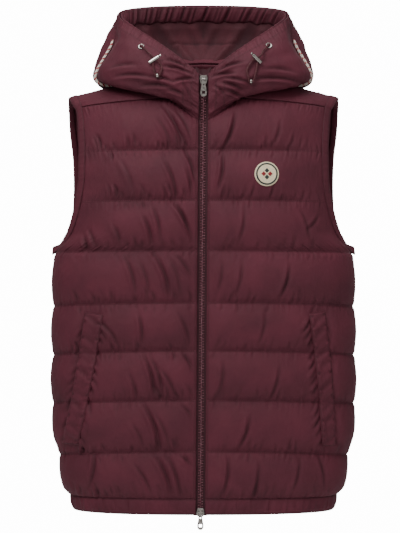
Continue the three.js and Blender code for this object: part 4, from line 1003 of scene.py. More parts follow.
def finish(name):
    """The vest's finishes, each made when it is first asked for."""
    if name not in FINISH:
        colours = bpy.context.scene.vest_colours
        kind, *values = {
            # colours.seam is the dark colour of the painted shade along the seams and in the folds
            "nylon": (shell_nylon, "nylon taffeta", colours.nylon, colours.nylon_shade, colours.seam, 0.6, 0.72),
            "edging": (shell_nylon, "nylon taffeta edging", colours.nylon, colours.nylon_shade, colours.seam,
                       0.3, 0.74),
            "lining": (shell_nylon, "nylon lining", colours.lining, colours.lining_shade, colours.seam, 0.5, 0.76),
            "tape": (twill_tape, "polyester zip tape", colours.zip_tape, "#340F18"),
            "teeth": (moulded_acetal, "acetal zip teeth", colours.zip_teeth, "#54252F"),
            # The metal's dark colour serves the painted shade in its hollows and its random spots
            "metal": (polished_nickel, "nickel plated zinc", colours.metal, "#2A2624"),
            "cord": (braided_cord, "braided elastic cord", colours.cord, "#2C070F"),
            "piping": (twisted_twine, "twisted cotton piping", colours.piping, colours.piping_fleck),
            "felt": (pressed_felt, "pressed wool felt", colours.felt, "#C8B795"),
            "thread": (satin_stitch, "rayon embroidery, dark", "#2A3834", "#141C19"),
            "red thread": (satin_stitch, "rayon embroidery, red", "#9C121F", "#5C0A12"),
            "paper": (seamless_paper, "studio paper", "#FFFFFF", 14.0),
        }[name]
        FINISH[name] = kind(*values)
    return FINISH[name]


# Settings
def colour_of(name, text, value):
    """Setting that holds an sRGB hex colour."""
    return bpy.props.StringProperty(name=name, description=text, default=value)


def length_of(name, text, value):
    """Setting that holds a length in millimetres."""
    return bpy.props.FloatProperty(name=name, description=text + ", in millimetres", default=value,
                                   min=0.0)


class VestColours(bpy.types.PropertyGroup):
    """Colours of the vest, as sRGB hex values."""
    nylon: colour_of("Nylon", "Lit colour of the outer cloth", "#571F2D")
    nylon_shade: colour_of("Nylon shade", "Darker patches of the outer cloth", "#491825")
    # Dark colour of the painted shade where the cloth sinks into the stitching and in the troughs of folds
    seam: colour_of("Seam", "Cloth sunk into a seam", "#2E0712")
    # The lining is the same nylon as the outer cloth; its colours are made darker as painted shade inside the hood
    lining: colour_of("Lining", "Cloth inside the hood", "#4C1C26")
    lining_shade: colour_of("Lining shade", "Darker patches of the lining", "#38111A")
    zip_tape: colour_of("Zip tape", "Tape on both sides of the teeth", "#4E1F2A")
    zip_teeth: colour_of("Zip teeth", "Moulded teeth", "#8A5560")
    metal: colour_of("Metal", "Plated trims", "#A8A19B")
    cord: colour_of("Cord", "Drawcord", "#520F1C")
    piping: colour_of("Piping", "Pale yarns of the piping", "#F9F2E8")
    piping_fleck: colour_of("Piping fleck", "The one coloured yarn of the piping", "#A80D1E")
    felt: colour_of("Patch", "Felt of the chest patch", "#E2D2B2")


class VestSizes(bpy.types.PropertyGroup):
    """Sizes that shape the cloth and trims."""
    puff: length_of("Puff", "Rise of a channel over its stitching", 11.0)
    fullness: bpy.props.FloatProperty(name="Fullness", description="Extra cloth along the stitching, as a share",
                                      default=0.045, min=0.0, max=0.3, subtype="FACTOR")
    pressure: bpy.props.FloatProperty(name="Filling", description="How hard the filling pushes", default=3.0, min=0.0)
    tooth_pitch: length_of("Tooth pitch", "From one tooth to the next on the same tape", 4.2)
    welt_rise: length_of("Welt rise", "Thickness of a pocket welt", 4.5)
    patch_radius: length_of("Patch radius", "Radius of the chest patch", 19.0)
    camera_distance: bpy.props.FloatProperty(name="Camera distance", description="From the vest's middle",
                                             default=3.2, min=0.5, unit="LENGTH")


# Pieces
SIDES = {"left": -1, "right": 1}


def puckered(grid, turned, first, seed):
    """Grid with short upright puckers beside each stitch line, and the painted shade in their hollows: uneven waves
    along the row that rise 3 mm from the line and fade out within 14 mm."""
    away = from_seams(first, grid.shape[:2])
    run = lengths_of(grid)[..., 0]
    strength = 0.6 + 0.5 * uneven(seed, grid.shape[:2], (16, 24))
    where = np.clip(away / 3, 0, 1) * bell(away, 11) * strength
    rise = waves(seed, run + 0.25 * away, (5.9, 8.3, 12.1), (0.5, 0.65, 0.5)) * where
    # Painted shade in the hollows of the puckers
    return grid + normals(grid, turned) * rise[..., None], np.clip(-0.4 * rise, 0, 1)


def creased(grid, turned, first, seed, pulls):
    """Grid with its puckers and pulls, and the painted shade in their hollows."""
    grid, fine = puckered(grid, turned, first, seed)
    grid, folded = pulled(grid, turned, pulls)
    return grid, np.maximum(fine, folded)


def from_seams(first, shape):
    """Millimetres from each of a grid's rows to the nearest stitch line, where the rows run down from
    channel first to the last."""
    v = np.linspace(first, CHANNELS, shape[0])
    return np.abs(v - np.round(v))[:, None] * CHANNEL_HEIGHT + np.zeros(shape)


class VEST_OT_camera(bpy.types.Operator):
    """Camera at the photograph's place: straight in front of the middle of the vest."""
    bl_idname = "vest.camera"
    bl_label = "Camera"

    def execute(self, context):
        sizes = context.scene.vest_sizes
        lens = bpy.data.cameras.new("camera")
        lens.sensor_fit = "VERTICAL"
        lens.sensor_height = 24
        shown = 533 * 1.6 * MM
        lens.lens = 24 * sizes.camera_distance / shown
        camera = add_object("camera", lens)
        camera.location = (-0.0056, -sizes.camera_distance, -0.317)
        camera.rotation_euler = (math.pi / 2, 0, 0)
        context.scene.camera = camera
        return {"FINISHED"}


# Routes of the drawcords in millimetres: from the eyelet into the lock, and the loop below it
CORDS = {
    "drawcord_left": ("eyelet_left", "cord_lock_left", [
        (-97.72, -77.25, 26.66), (-98.36, -80.1, 28.58), (-87.82, -89.58, 17.94), (-81.85, -99.22, 11.46),
        (-78.8, -99.22, 6.77)]),
    "drawcord_loop_left": ("cord_lock_left", "cord_end_left", [
        (-78.62, -99.22, -1.58), (-77.34, -102.1, -10.87), (-75.37, -103.02, -18.35), (-74.37, -103.62, -21.51),
        (-68.58, -104.8, -21.63), (-67.53, -104.62, -18.47), (-64.9, -103.08, -9.68), (-71.24, -99.22, 3.21)]),
    "drawcord_right": ("eyelet_right", "cord_lock_right", [
        (102.22, -74.89, 28.66), (102.86, -77.75, 30.58), (93.07, -87.84, 19.44), (89.29, -97.86, 11.29),
        (85.33, -97.86, 7.33)]),
    "drawcord_loop_right": ("cord_lock_right", "cord_end_right", [
        (77.2, -97.86, 5.42), (66.88, -104.27, -13.88), (69.16, -105.01, -24.29), (70.82, -103.54, -30.54),
        (76.02, -102.09, -30.54), (78.38, -102.45, -25.85), (81.34, -101.48, -14.02), (83.42, -97.86, -0.8)]),
}


def round_tube(path, radius, sides):
    """Rings round a path: each ring's frame is the path's direction, and the last ring's own sideways
    direction with what lies along the path taken off."""
    ahead = unit(np.gradient(path, axis=0))
    flat = np.zeros_like(ahead)
    flat[0] = unit(np.cross(ahead[0], (0.3, 0.2, 0.9)))
    for i in range(1, len(path)):
        flat[i] = unit(flat[i - 1] - ahead[i] * (flat[i - 1] @ ahead[i]))
    up = np.cross(ahead, flat)
    angle = np.linspace(0, 2 * np.pi, sides, endpoint=False)
    radius = np.broadcast_to(np.asarray(radius, float), (len(path),))
    return path[:, None] + radius[:, None, None] * (np.cos(angle)[:, None] * flat[:, None]
                                                    + np.sin(angle)[:, None] * up[:, None])


def tube_map(path, radius, sides):
    run = np.concatenate([[0], np.cumsum(np.linalg.norm(np.diff(path, axis=0), axis=1))])
    around = np.linspace(0, 2 * np.pi * radius, sides, endpoint=False)
    return np.stack(np.broadcast_arrays(around[None, :], run[:, None]), axis=-1).reshape(-1, 2)


class VEST_OT_drawcords(bpy.types.Operator):
    """Drawcords from the eyelets into their locks, and the loops that hang below with their end beads."""
    bl_idname = "vest.drawcords"
    bl_label = "Drawcords"

    def execute(self, context):
        for name, (_, carried, route) in CORDS.items():
            path = evenly(spline(np.array(route, float), np.linspace(0, 1, 300)), np.linspace(0, 1, 48))
            cord = make_piece(name + "_braid", tube(round_tube(path, CORD_RADIUS, 12)), finish("cord"),
                              (name,), tube_map(path, CORD_RADIUS, 12))
        return {"FINISHED"}


class VEST_OT_fill(bpy.types.Operator):
    """Fills out the padded panels, yokes and hood pieces with a cloth simulation."""
    bl_idname = "vest.fill"
    bl_label = "Fill out the padded cloth"

    def execute(self, context):
        sizes = context.scene.vest_sizes
        full, push = sizes.fullness, sizes.pressure
        pieces = {}
        for side, sign in SIDES.items():
            base, outer, v = front_grids(sign, sizes.puff * 0.86)
            pieces["front_panel_" + side] = (outer, held_rows(v, outer.shape[1]), -sign, full, push,
                                             caps(base, outer, 0.5))
            base, outer = yoke_grids(sign)
            pieces["front_yoke_" + side] = (outer, held_edges(outer), sign, full * 0.7, push, caps(base, outer, 0.4))
            base, outer = hood_side_grids(sign)
            pieces["hood_side_" + side] = (outer, held_edges(outer), -sign, full * 0.4, push * 0.4,
                                           caps(base, outer, 0.4))
        base, outer, v = back_grids((sizes.puff - 1) * 0.86)
        pieces["back_panel"] = (outer, held_rows(v, outer.shape[1]), 1, full, push, caps(base, outer, 0.5))
        base, outer = hood_centre_grids()
        pieces["hood_centre"] = (outer, held_edges(outer), 1, full * 0.5, push * 0.4, caps(base, outer, 0.4))
        fill_out(pieces, 24)
        return {"FINISHED"}


class VEST_OT_fronts(bpy.types.Operator):
    """Quilted front panels with the creases that pull down from the neck and the zip."""
    bl_idname = "vest.fronts"
    bl_label = "Front panels"

    def execute(self, context):
        sizes = context.scene.vest_sizes
        for side, sign in SIDES.items():
            name = "front_panel_" + side
            base, _, v = front_grids(sign, sizes.puff)
            pulls = CREASES[sign] + short_pulls(sign, 1.0 if sign < 0 else 0.6) + welt_pulls(sign)
            outer, folded = creased(finer(SEWN[name], 2), -sign, 0, 10 + sign, pulls)
            seam = from_seams(0, outer.shape[:2])
            uv = lengths_of(outer)
            from_zip = np.abs(uv[..., 0] - uv[:, :1, 0] - 3.0)
            placket = from_zip < seam
            run = np.where(placket, uv[..., 1], uv[..., 0])
            panel = cloth_piece(name + "_quilt", outer, base, np.where(placket, from_zip, seam), finish("nylon"),
                                (name,), run, folded)
        return {"FINISHED"}


class VEST_OT_back(bpy.types.Operator):
    """Quilted back panel up to the shoulder seams and the back neck."""
    bl_idname = "vest.back"
    bl_label = "Back panel"

    def execute(self, context):
        sizes = context.scene.vest_sizes
        base, _, _ = back_grids(sizes.puff - 1)
        pulls = BACK_CREASES + short_pulls(-1, 0.7) + short_pulls(1, 0.7)
        outer, folded = creased(finer(SEWN["back_panel"], 2), 1, -1, 12, pulls)
        seam = from_seams(-1, outer.shape[:2])
        panel = cloth_piece("back_panel_quilt", outer, base, seam, finish("nylon"), ("back_panel",),
                            folded=folded)
        return {"FINISHED"}


class VEST_OT_yokes(bpy.types.Operator):
    """Front shoulder yokes."""
    bl_idname = "vest.yokes"
    bl_label = "Front yokes"

    def execute(self, context):
        for side, sign in SIDES.items():
            name = "front_yoke_" + side
            base, _ = yoke_grids(sign)
            outer = finer(SEWN[name], 2)
            t = np.linspace(0, 1, outer.shape[0])
            seam = 1.1 + np.minimum(t, 1 - t)[:, None] * 45 + np.zeros(outer.shape[:2])
            yoke = cloth_piece(name + "_quilt", outer, base, seam, finish("nylon"), (name,))
        return {"FINISHED"}


class VEST_OT_hem(bpy.types.Operator):
    """Hem band in three pieces, gathered a little by the elastic inside it."""
    bl_idname = "vest.hem"
    bl_label = "Hem band"

    def execute(self, context):
        down = np.linspace(0, 1, 13)[:, None]
        overlap = 0.9
        spans = {"hem_band_left": (-1, 129), "hem_band_right": (1, 129), "hem_band_back": (0, 241)}
        for seed, (name, (sign, columns)) in enumerate(spans.items()):
            share = np.linspace(0, 1, columns)[None, :]
            along = share if sign else np.abs(share * 2 - 1)
            z = mix(seam_height(QUILT[-1], along) + overlap, HEM_BOTTOM, down)
            if sign:
                base = front_point(sign, share, z)
                turned = -sign
            else:
                side = np.where(share < 0.5, -1.0, 1.0)
                base = section(1, False, along + 0 * z, z)
                base[..., 0] *= side
                turned = 1
            run = lengths_of(base)[..., 0]
            swell = np.sin(np.pi * down) ** 0.6
            ends = np.sin(np.pi * np.clip(share, 0, 1)) ** 0.2
            gathers = waves(20 + seed, run, (7.1, 9.7, 13.3, 21.0), (0.35, 0.45, 0.45, 0.4))
            lean = waves(30 + seed, run + 9 * down, (11.0, 17.0), (0.3, 0.3))
            lift = WALL - 0.5 * (1 - down) ** 4 + swell * (2.4 + ends * (gathers + lean))
            outer = base + normals(base, turned) * lift[..., None]
            seam = np.minimum(np.abs(down * 23.4 - 1.5), np.abs((1 - down) * 23.4 - 2.2)) + 0 * run
            band = cloth_piece(name + "_gathered", outer, base, seam, finish("edging"), (name,))
        return {"FINISHED"}


def arm_edge(sign):
    """Edge of the panels round an arm, with its outward normal and a place inside the panel: up the
    front, over the shoulder, down the back and round the armpit."""
    base, _, v = front_grids(sign, 11)
    rows = np.flatnonzero(v < 2.999)[::-1][::2]
    face = normals(base, -sign)
    parts = [(base[rows, -1], face[rows, -1], base[rows, -3])]
    base, _ = yoke_grids(sign)
    face = normals(base, sign)
    parts.append((base[2::3, -1], face[2::3, -1], base[2::3, -3]))
    base, _, v = back_grids(10)
    rows = np.flatnonzero((v < 2.999) & (v > -0.99))[::2]
    face = normals(base, 1)
    side, inner = (-1, -3) if sign > 0 else (0, 2)
    parts.append((base[rows, side], face[rows, side], base[rows, inner]))
    half = float(smooth_row(FORM, 3, np.array(ARMPIT)))
    parts.append((np.array([[sign * half, 0, ARMPIT + SEAM_GAP]]), np.array([[sign, 0, 0.0]]),
                  np.array([[sign * half, 0, ARMPIT - 20.0]])))
    return [np.concatenate(p) for p in zip(*parts)]


class VEST_OT_bindings(bpy.types.Operator):
    """Armhole bindings: a folded strip with two rows of stitching and small puckers."""
    bl_idname = "vest.bindings"
    bl_label = "Armhole bindings"

    def execute(self, context):
        profile = np.array([(0.7, -0.4), (4.5, -0.5), (9.4, -0.4), (10.9, 0.2), (11.6, 1.5), (10.9, 2.9), (9.4, 3.6),
                            (7.2, 3.9), (4.4, 4.1), (1.4, 4.2), (-1.2, 4.2), (-2.6, 3.6), (-2.2, 2.6), (0.7, 2.5)])
        for seed, (side, sign) in enumerate(SIDES.items()):
            point, face, inward = arm_edge(sign)
            closed = np.concatenate([point, point[:1]])
            run = np.concatenate([[0], np.cumsum(np.linalg.norm(np.diff(closed, axis=0), axis=1))])
            total = run[-1]
            at = np.linspace(0, total, 300, endpoint=False)
            even = lambda a: np.stack([np.interp(at, run, np.append(a[:, k], a[0, k])) for k in range(3)], axis=-1)
            point, face, inward = even(point), unit(even(face)), even(inward)
            smooth = np.array([0.25, 0.5, 0.25])
            for _ in range(4):
                face = unit(sum(w * np.roll(face, s, axis=0) for w, s in zip(smooth, (-1, 0, 1))))
                point = sum(w * np.roll(point, s, axis=0) for w, s in zip((0.12, 0.76, 0.12), (-1, 0, 1)))
            # The binding's ends stand out a little where they cross at the armpit
            from_armpit = np.linalg.norm(point - np.array([sign * 234, 0, ARMPIT]), axis=1)
            point = point + vectors(sign * 5 * np.exp(-((from_armpit / 13) ** 2)), 0, 0)
            inward = inward + vectors(sign * 5 * np.exp(-((from_armpit / 13) ** 2)), 0, 0)
            along = unit(np.roll(point, -1, axis=0) - np.roll(point, 1, axis=0))
            away = unit(np.cross(along, face))
            away *= np.sign((away * (point - inward)).sum(-1))[:, None]
            up = unit(np.cross(away, along))
            up *= np.sign((up * face).sum(-1))[:, None]
            pucker = waves(40 + seed, at, (6.3, 9.1, 15.7), (0.16, 0.18, 0.14))[:, None]
            wide = profile[None, :, 0] + 0 * pucker
            high = profile[None, :, 1] + np.where(profile[None, :, 1] > 1, pucker, 0)
            rings = point[:, None] + wide[..., None] * away[:, None] + high[..., None] * up[:, None]
            size = len(profile)
            seam = np.minimum(np.abs(profile[:, 0] + 2.0), np.abs(profile[:, 0] - 8.4))
            seam = np.where(profile[:, 1] > 2, seam, 30)
            around = np.concatenate([[0], np.cumsum(np.linalg.norm(np.diff(profile, axis=0), axis=1))])
            uv = np.stack(np.broadcast_arrays(around[None, :], at[:, None]), axis=-1).reshape(-1, 2)
            marks = {"seam": np.tile(seam, len(at)), "run": np.repeat(at, size)}
            name = "armhole_binding_" + side
            strip = make_piece(name + "_strip", tube(rings, closed=True), finish("edging"), (name,), uv, marks)
        return {"FINISHED"}


class VEST_OT_hood(bpy.types.Operator):
    """Hood: two side panels and the centre panel over the crown and back."""
    bl_idname = "vest.hood"
    bl_label = "Hood"

    def execute(self, context):
        grids = {"hood_side_" + side: (hood_side_grids(sign), -sign) for side, sign in SIDES.items()}
        grids["hood_centre"] = (hood_centre_grids(), 1)
        for seed, (name, ((inner, _), turned)) in enumerate(grids.items()):
            outer = finer(SEWN[name], 2)
            uv = lengths_of(outer)
            share = np.linspace(0, 1, outer.shape[0])[:, None]
            column = np.linspace(0, 1, outer.shape[1])[None, :]
            edge = np.minimum(column, 1 - column) if turned == 1 else 1 - column
            run = uv[..., 0]
            brim = np.exp(-((share / 0.09) ** 2)) * np.clip(share / 0.012, 0, 1)
            ruched = waves(50 + seed, run, (5.3, 7.9, 11.9, 19.0), (0.4, 0.5, 0.45, 0.3)) * brim
            at_seam = np.exp(-((edge * 16) ** 2)) * np.clip(edge * 60, 0, 1) * np.sin(np.pi * share) ** 0.3
            drawn = waves(60 + seed, uv[..., 1], (6.1, 8.7, 13.1), (0.4, 0.5, 0.35)) * at_seam
            inside = np.sin(np.pi * np.clip(share, 0, 1)) ** 0.35 * np.clip(np.minimum(column, 1 - column) * 14, 0, 1)
            soft = uneven(70 + seed, outer.shape[:2], (7, 8)) * 1.2 * inside
            dragged = waves(80 + seed, uv[..., 1] + 12 * np.sin(column * 5), (23.0, 34.0), (0.35, 0.4)) * inside
            outer = outer + normals(outer, turned) * (ruched + drawn + soft + dragged)[..., None]
            outer, folded = pulled(outer, turned, [] if name == "hood_centre" else HOOD_CREASES[-turned])
            # Painted shade in the crease troughs and in the hollows of the ruching and the drawn puckers
            folded = np.maximum(folded, np.clip(-0.3 * (ruched + drawn), 0, 1))
            seam = np.minimum(edge * 180, share * 200 + 0 * column)
            seam = np.minimum(seam, np.abs(share * 200 - 16) + 0 * column)
            stand = np.minimum(np.abs(np.abs(outer[..., 0]) - 32), np.abs(np.abs(outer[..., 0]) - 19))
            seam = np.where((outer[..., 2] < -28) & (share < 0.8), np.minimum(seam, stand), seam)
            piece = cloth_piece(name + "_cloth", outer, inner, seam, finish("nylon"), (name,), folded=folded)
        return {"FINISHED"}


class VEST_OT_lining(bpy.types.Operator):
    """Hood lining, with folds that run together towards the throat, and the gathered casing at its edge."""
    bl_idname = "vest.lining"
    bl_label = "Lining and casing"

    def execute(self, context):
        end = 0.985
        place = np.linspace(-end, end, 217)
        share = np.linspace(0, 1, 49)[:, None]
        _, total = lining_at(place, np.zeros((1, len(place))))
        top = CASING_WIDTH - 6
        base, _ = lining_at(place, mix(top, total[None, :], share))
        run = np.abs(place)[None, :] * 420
        fold = waves(90, run + 40 * share, (17.0, 31.0, 52.0), (1.5, 2.4, 2.0)) * np.sin(np.pi * share) ** 0.5
        fold = fold * np.clip((0.95 - np.abs(place)) / 0.3, 0.15, 1)[None, :]
        seam_at = np.abs(share * (total[None, :] - top) - 42)
        # Painted shade that deepens down the lining towards the neck
        deep = 1.3 * np.clip((share - 0.62) / 0.3, 0, 1)
        fold = fold - 1.6 * np.exp(-((seam_at / 2.2) ** 2)) + 1.2 * uneven(91, base.shape[:2], (6, 18)) * np.sin(np.pi * share)
        clear = np.clip((share * (total[None, :] - top) - 6) / 9, 0, 1)
        inner = base + normals(base, -1) * (1.2 + np.maximum(fold + 2.2, 0) * clear)[..., None]
        # The lining's mark is painted shade: in the troughs of its folds, and deep in the hood towards the neck
        lining = cloth_piece("hood_lining_cloth", inner, base, seam_at + 0 * inner[..., 0], finish("lining"),
                             ("hood_lining",), folded=np.clip(np.clip(-0.35 * fold, 0, 1) + deep, 0, 1))

        place = np.linspace(-end, end, 601)
        share = np.linspace(0, 1, 15)[:, None]
        edge = CASING_WIDTH - 1.5 + waves(94, place * 420, (17.0, 29.0, 47.0), (0.9, 1.0, 0.9))[None, :]
        base, _ = lining_at(place, share * edge)
        run = lengths_of(base)[..., 0]
        tight = 1.0 + 0.3 * np.sin(place * 2.2)[None, :]
        pleat = waves(95, run + 9 * share, (6.3, 9.1, 12.7, 19.0), (0.6, 1.1, 1.2, 0.9)) * tight
        lift = 1.7 + (2.6 + pleat) * np.sin(np.pi * np.clip(share * 0.9 + 0.08, 0, 1)) ** 0.7
        inner = base + normals(base, -1) * np.maximum(lift, 0.8)[..., None]
        seam = np.minimum(np.abs(share * 27 - 2.5), np.abs(share * 27 - 24.5)) + 0 * run
        # Painted shade in the hollows of the pleats
        casing = cloth_piece("hood_casing_gathered", inner, base, seam, finish("nylon"), ("hood_casing",),
                             folded=np.clip(-0.45 * pleat, 0, 1))
        return {"FINISHED"}


class VEST_OT_piping(bpy.types.Operator):
    """Piping in the seams between the hood's sides and its centre."""
    bl_idname = "vest.piping"
    bl_label = "Hood piping"

    def execute(self, context):
        for side, sign in SIDES.items():
            outer = finer(SEWN["hood_side_" + side], 2)
            rows = slice(20, 99)
            seam, before = outer[rows, -1], outer[rows, -3]
            ahead = unit(np.gradient(seam, axis=0))
            out = unit(np.cross(ahead, unit(seam - before))) * sign
            path = seam + out * (PIPING_RADIUS + 0.8)
            name = "hood_piping_" + side
            ends = np.sqrt(np.clip(np.minimum(np.arange(len(path)), np.arange(len(path))[::-1]) / 3, 0.05, 1))
            make_piece(name + "_twine", tube(round_tube(path, PIPING_RADIUS * ends, 14)), finish("piping"),
                       (name,), tube_map(path, PIPING_RADIUS, 14))
        return {"FINISHED"}


def on_front(sign, x, z):
    """Places on a finished front straight behind (x, z) of the front view, and its normals there."""
    grid = SEWN["front_panel_" + ("left" if sign < 0 else "right")]
    r, c = seen_from_front(grid, x, z)
    return sample(grid, r, c), unit(sample(normals(grid, -sign), r, c))


class VEST_OT_welts(bpy.types.Operator):
    """Slanted pocket welts: folded strips with stitched edges that pucker."""
    bl_idname = "vest.welts"
    bl_label = "Pocket welts"

    def execute(self, context):
        sizes = context.scene.vest_sizes
        for seed, (side, sign) in enumerate(SIDES.items()):
            outer_top, inner_top, inner_bottom, outer_bottom = WELTS[sign]
            t = np.linspace(0, 1, 121)[:, None]
            s = np.linspace(0, 1, 21)[None, :]
            bend = 2.6 * np.sin(np.pi * t) * -sign * (1 if sign < 0 else -1)
            x = mix(mix(inner_top[0], inner_bottom[0], t), mix(outer_top[0], outer_bottom[0], t), s) + bend
            z = mix(mix(inner_top[1], inner_bottom[1], t), mix(outer_top[1], outer_bottom[1], t), s)
            point, face = on_front(sign, x, z)
            smooth = point.copy()
            for _ in range(10):
                smooth[1:-1] = 0.25 * smooth[:-2] + 0.5 * smooth[1:-1] + 0.25 * smooth[2:]
            point = mix(point, smooth, 0.4)
            run = t * 207
            round_ = (1 - np.abs(2 * s - 1) ** 5) ** 0.5 * (1 - np.abs(2 * t - 1) ** 40) ** 0.5
            pucker = waves(110 + seed, run, (8.1, 12.3, 17.9, 31.0), (0.7, 0.8, 0.8, 0.6))
            edge = np.exp(-((np.minimum(s, 1 - s) * 9 - 1) ** 2) * 1.4)
            slant = waves(120 + seed, run + 14 * s, (17.0, 27.0), (0.6, 0.7)) * np.sin(np.pi * s)
            rise = round_ * (sizes.welt_rise * 0.86 + pucker * edge * 0.8 + slant)
            low = point + face * 0.35
            high = point + face * (0.5 + np.maximum(rise, 0))[..., None]
            wide = 28.0
            seam = np.minimum(np.minimum(s, 1 - s) * wide * 0.8, np.minimum(t, 1 - t) * 160) + 0.2
            name = "pocket_welt_" + side
            # The last mark is painted shade in the hollows of the puckers and slants
            welt = cloth_piece(name + "_strip", high, low, seam, finish("nylon"), (name,), run + 0 * s,
                               np.clip(-0.3 * (pucker * edge + slant), 0, 1))
        return {"FINISHED"}


class VEST_OT_patch(bpy.types.Operator):
    """Round felt patch with a stitched ring and four small stitched diamonds."""
    bl_idname = "vest.patch"
    bl_label = "Chest patch"

    centre = (97.5, -174.0)

    def execute(self, context):
        sizes = context.scene.vest_sizes
        u, w = np.meshgrid(np.linspace(-1, 1, 49), np.linspace(-1, 1, 49))
        x, z = u * np.sqrt(1 - w * w / 2), w * np.sqrt(1 - u * u / 2)
        point, face = on_front(1, self.centre[0] + x * sizes.patch_radius, self.centre[1] + z * sizes.patch_radius)
        for _ in range(12):
            point[1:-1, 1:-1] = (point[:-2, 1:-1] + point[2:, 1:-1] + point[1:-1, :-2] + point[1:-1, 2:]) / 4
        face = normals(point, 1)
        face *= -np.sign(face[..., 1:2])
        rim = np.sqrt(np.clip(1 - np.hypot(x, z) ** 14, 0, 1))
        low = point + face * 0.4
        high = point + face * (0.7 + 1.5 * rim)[..., None]
        make_piece("chest_patch_felt", shell(high, low), finish("felt"), ("chest_patch",))
        around = np.linspace(0, 2 * np.pi, 121)[:-1]
        middle = sample(high, 24 + 24 * self.squared(around)[1], 24 + 24 * self.squared(around)[0])
        out = unit(sample(face, 24 + 24 * self.squared(around)[1], 24 + 24 * self.squared(around)[0]))
        ring = self.band(middle, out, 1.3, 0.55)
        make_piece("chest_patch_ring", tube(ring, closed=True), finish("thread"))
        for i, (dx, dz) in enumerate(((0, 0.26), (0.26, 0), (0, -0.26), (-0.26, 0))):
            a, b = np.meshgrid(np.linspace(-1, 1, 13), np.linspace(-1, 1, 13))
            px, pz = dx + 0.2 * (a + b) / 2, dz + 0.2 * (b - a) / 2
            at = sample(high, 24 + 24 * pz * 1.02, 24 + 24 * px * 1.02)
            up = unit(sample(face, 24 + 24 * pz, 24 + 24 * px))
            swell = np.sqrt(np.clip((1 - a ** 4) * (1 - b ** 4), 0, 1))
            make_piece(f"chest_patch_diamond_{i + 1}", shell(at + up * (0.1 + 0.7 * swell)[..., None], at - up * 0.2),
                       finish("thread" if i % 2 == 0 else "red thread"))
        return {"FINISHED"}

    def squared(self, angle, share=0.82):
        """Square-grid place of a point at an angle and a share of the radius, by the disc map's inverse."""
        x, z = share * np.cos(angle), share * np.sin(angle)
        k = 2 * np.sqrt(2)
        up = 2 + x * x - z * z
        right = 2 - x * x + z * z
        safe = lambda v: np.sqrt(np.maximum(v, 0))
        return (0.5 * (safe(up + k * x) - safe(up - k * x)), 0.5 * (safe(right + k * z) - safe(right - k * z)))

    def band(self, middle, out, half, rise):
        """Flat oval section carried round a closed line on a surface."""
        ahead = unit(np.roll(middle, -1, axis=0) - np.roll(middle, 1, axis=0))
        flat = unit(np.cross(ahead, out))
        angle = np.linspace(0, 2 * np.pi, 12, endpoint=False)
        return (middle[:, None] + half * np.cos(angle)[:, None] * flat[:, None]
                + rise * np.sin(angle)[:, None] * out[:, None])


# Line that the zip's inner face follows up the collar: height, depth
COLLAR_LINE = np.array([(-88, -86), (-79, -87.6), (-70, -89.4), (-56, -91.4), (-38, -92.9), (-15, -92.4)])


def zip_y(z):
    return np.where(z > -88, smooth_row(COLLAR_LINE, 1, z), -smooth_row(FORM, 1, z))


class VEST_OT_zip(bpy.types.Operator):
    """Zip: two woven tapes and a chain of moulded teeth that mesh from both sides."""
    bl_idname = "vest.zip"
    bl_label = "Zip tapes and teeth"

    def execute(self, context):
        sizes = context.scene.vest_sizes
        for side, sign in SIDES.items():
            z = np.linspace(-18, -703, 240)[:, None]
            x = np.linspace(3.0, 10.5, 9)[None, :]
            at = lambda y: vectors(zip_x(z) + sign * x, zip_y(z) + y, z)
            name = "zip_tape_" + side
            cloth = shell(at(1.0), at(1.75))
            uv = np.stack(np.broadcast_arrays(x, z), axis=-1).reshape(-1, 2)
            tape = make_piece(name + "_woven", cloth, finish("tape"), (name,), np.concatenate([uv, uv]))
        # A tooth: a head towards the middle and a foot out on its tape, as rings of an octagon
        pitch = sizes.tooth_pitch
        z = np.arange(-25.5, -699.0, -pitch / 2)
        turn = np.where(np.arange(len(z)) % 2 == 0, 1.0, -1.0)
        angle = np.radians(np.arange(8) * 45 + 22.5)
        rings = [(-1.0, 0.45), (-0.7, 0.8), (0.9, 0.86), (1.2, 0.55), (2.6, 0.55), (2.9, 0.95), (3.7, 0.95), (3.9, 0.6)]
        across = np.array([r[0] for r in rings])[:, None] + 0 * angle
        half = np.array([r[1] for r in rings])[:, None]
        deep, high = 1.35 * half * np.cos(angle), half * np.sin(angle)
        unit_tooth = np.stack([across, deep, high], axis=-1).reshape(-1, 3)
        _, faces = tube(np.stack([across, deep, high], axis=-1))
        faces = [f[::-1] for f in faces]
        points = unit_tooth[None] * np.stack([turn, turn, np.ones_like(turn)], axis=-1)[:, None]
        points = points + vectors(zip_x(z), zip_y(z) + 0.2, z)[:, None]
        count = len(unit_tooth)
        every = [[i + k * count for i in f] for k in range(len(z)) for f in faces]
        make_piece("zip_teeth", (points.reshape(-1, 3), every), finish("teeth"), ("zip_chain",))
        core = np.linspace(-23.5, -700.5, 200)[:, None]
        x = np.array([[-3.4, 0.0, 3.4]])
        at = lambda y: vectors(zip_x(core) + x, zip_y(core) + y, core)
        uv = np.stack(np.broadcast_arrays(x, core), axis=-1).reshape(-1, 2)
        make_piece("zip_cord_edges", shell(at(0.9), at(1.5)), finish("tape"), (), np.concatenate([uv, uv]))
        return {"FINISHED"}


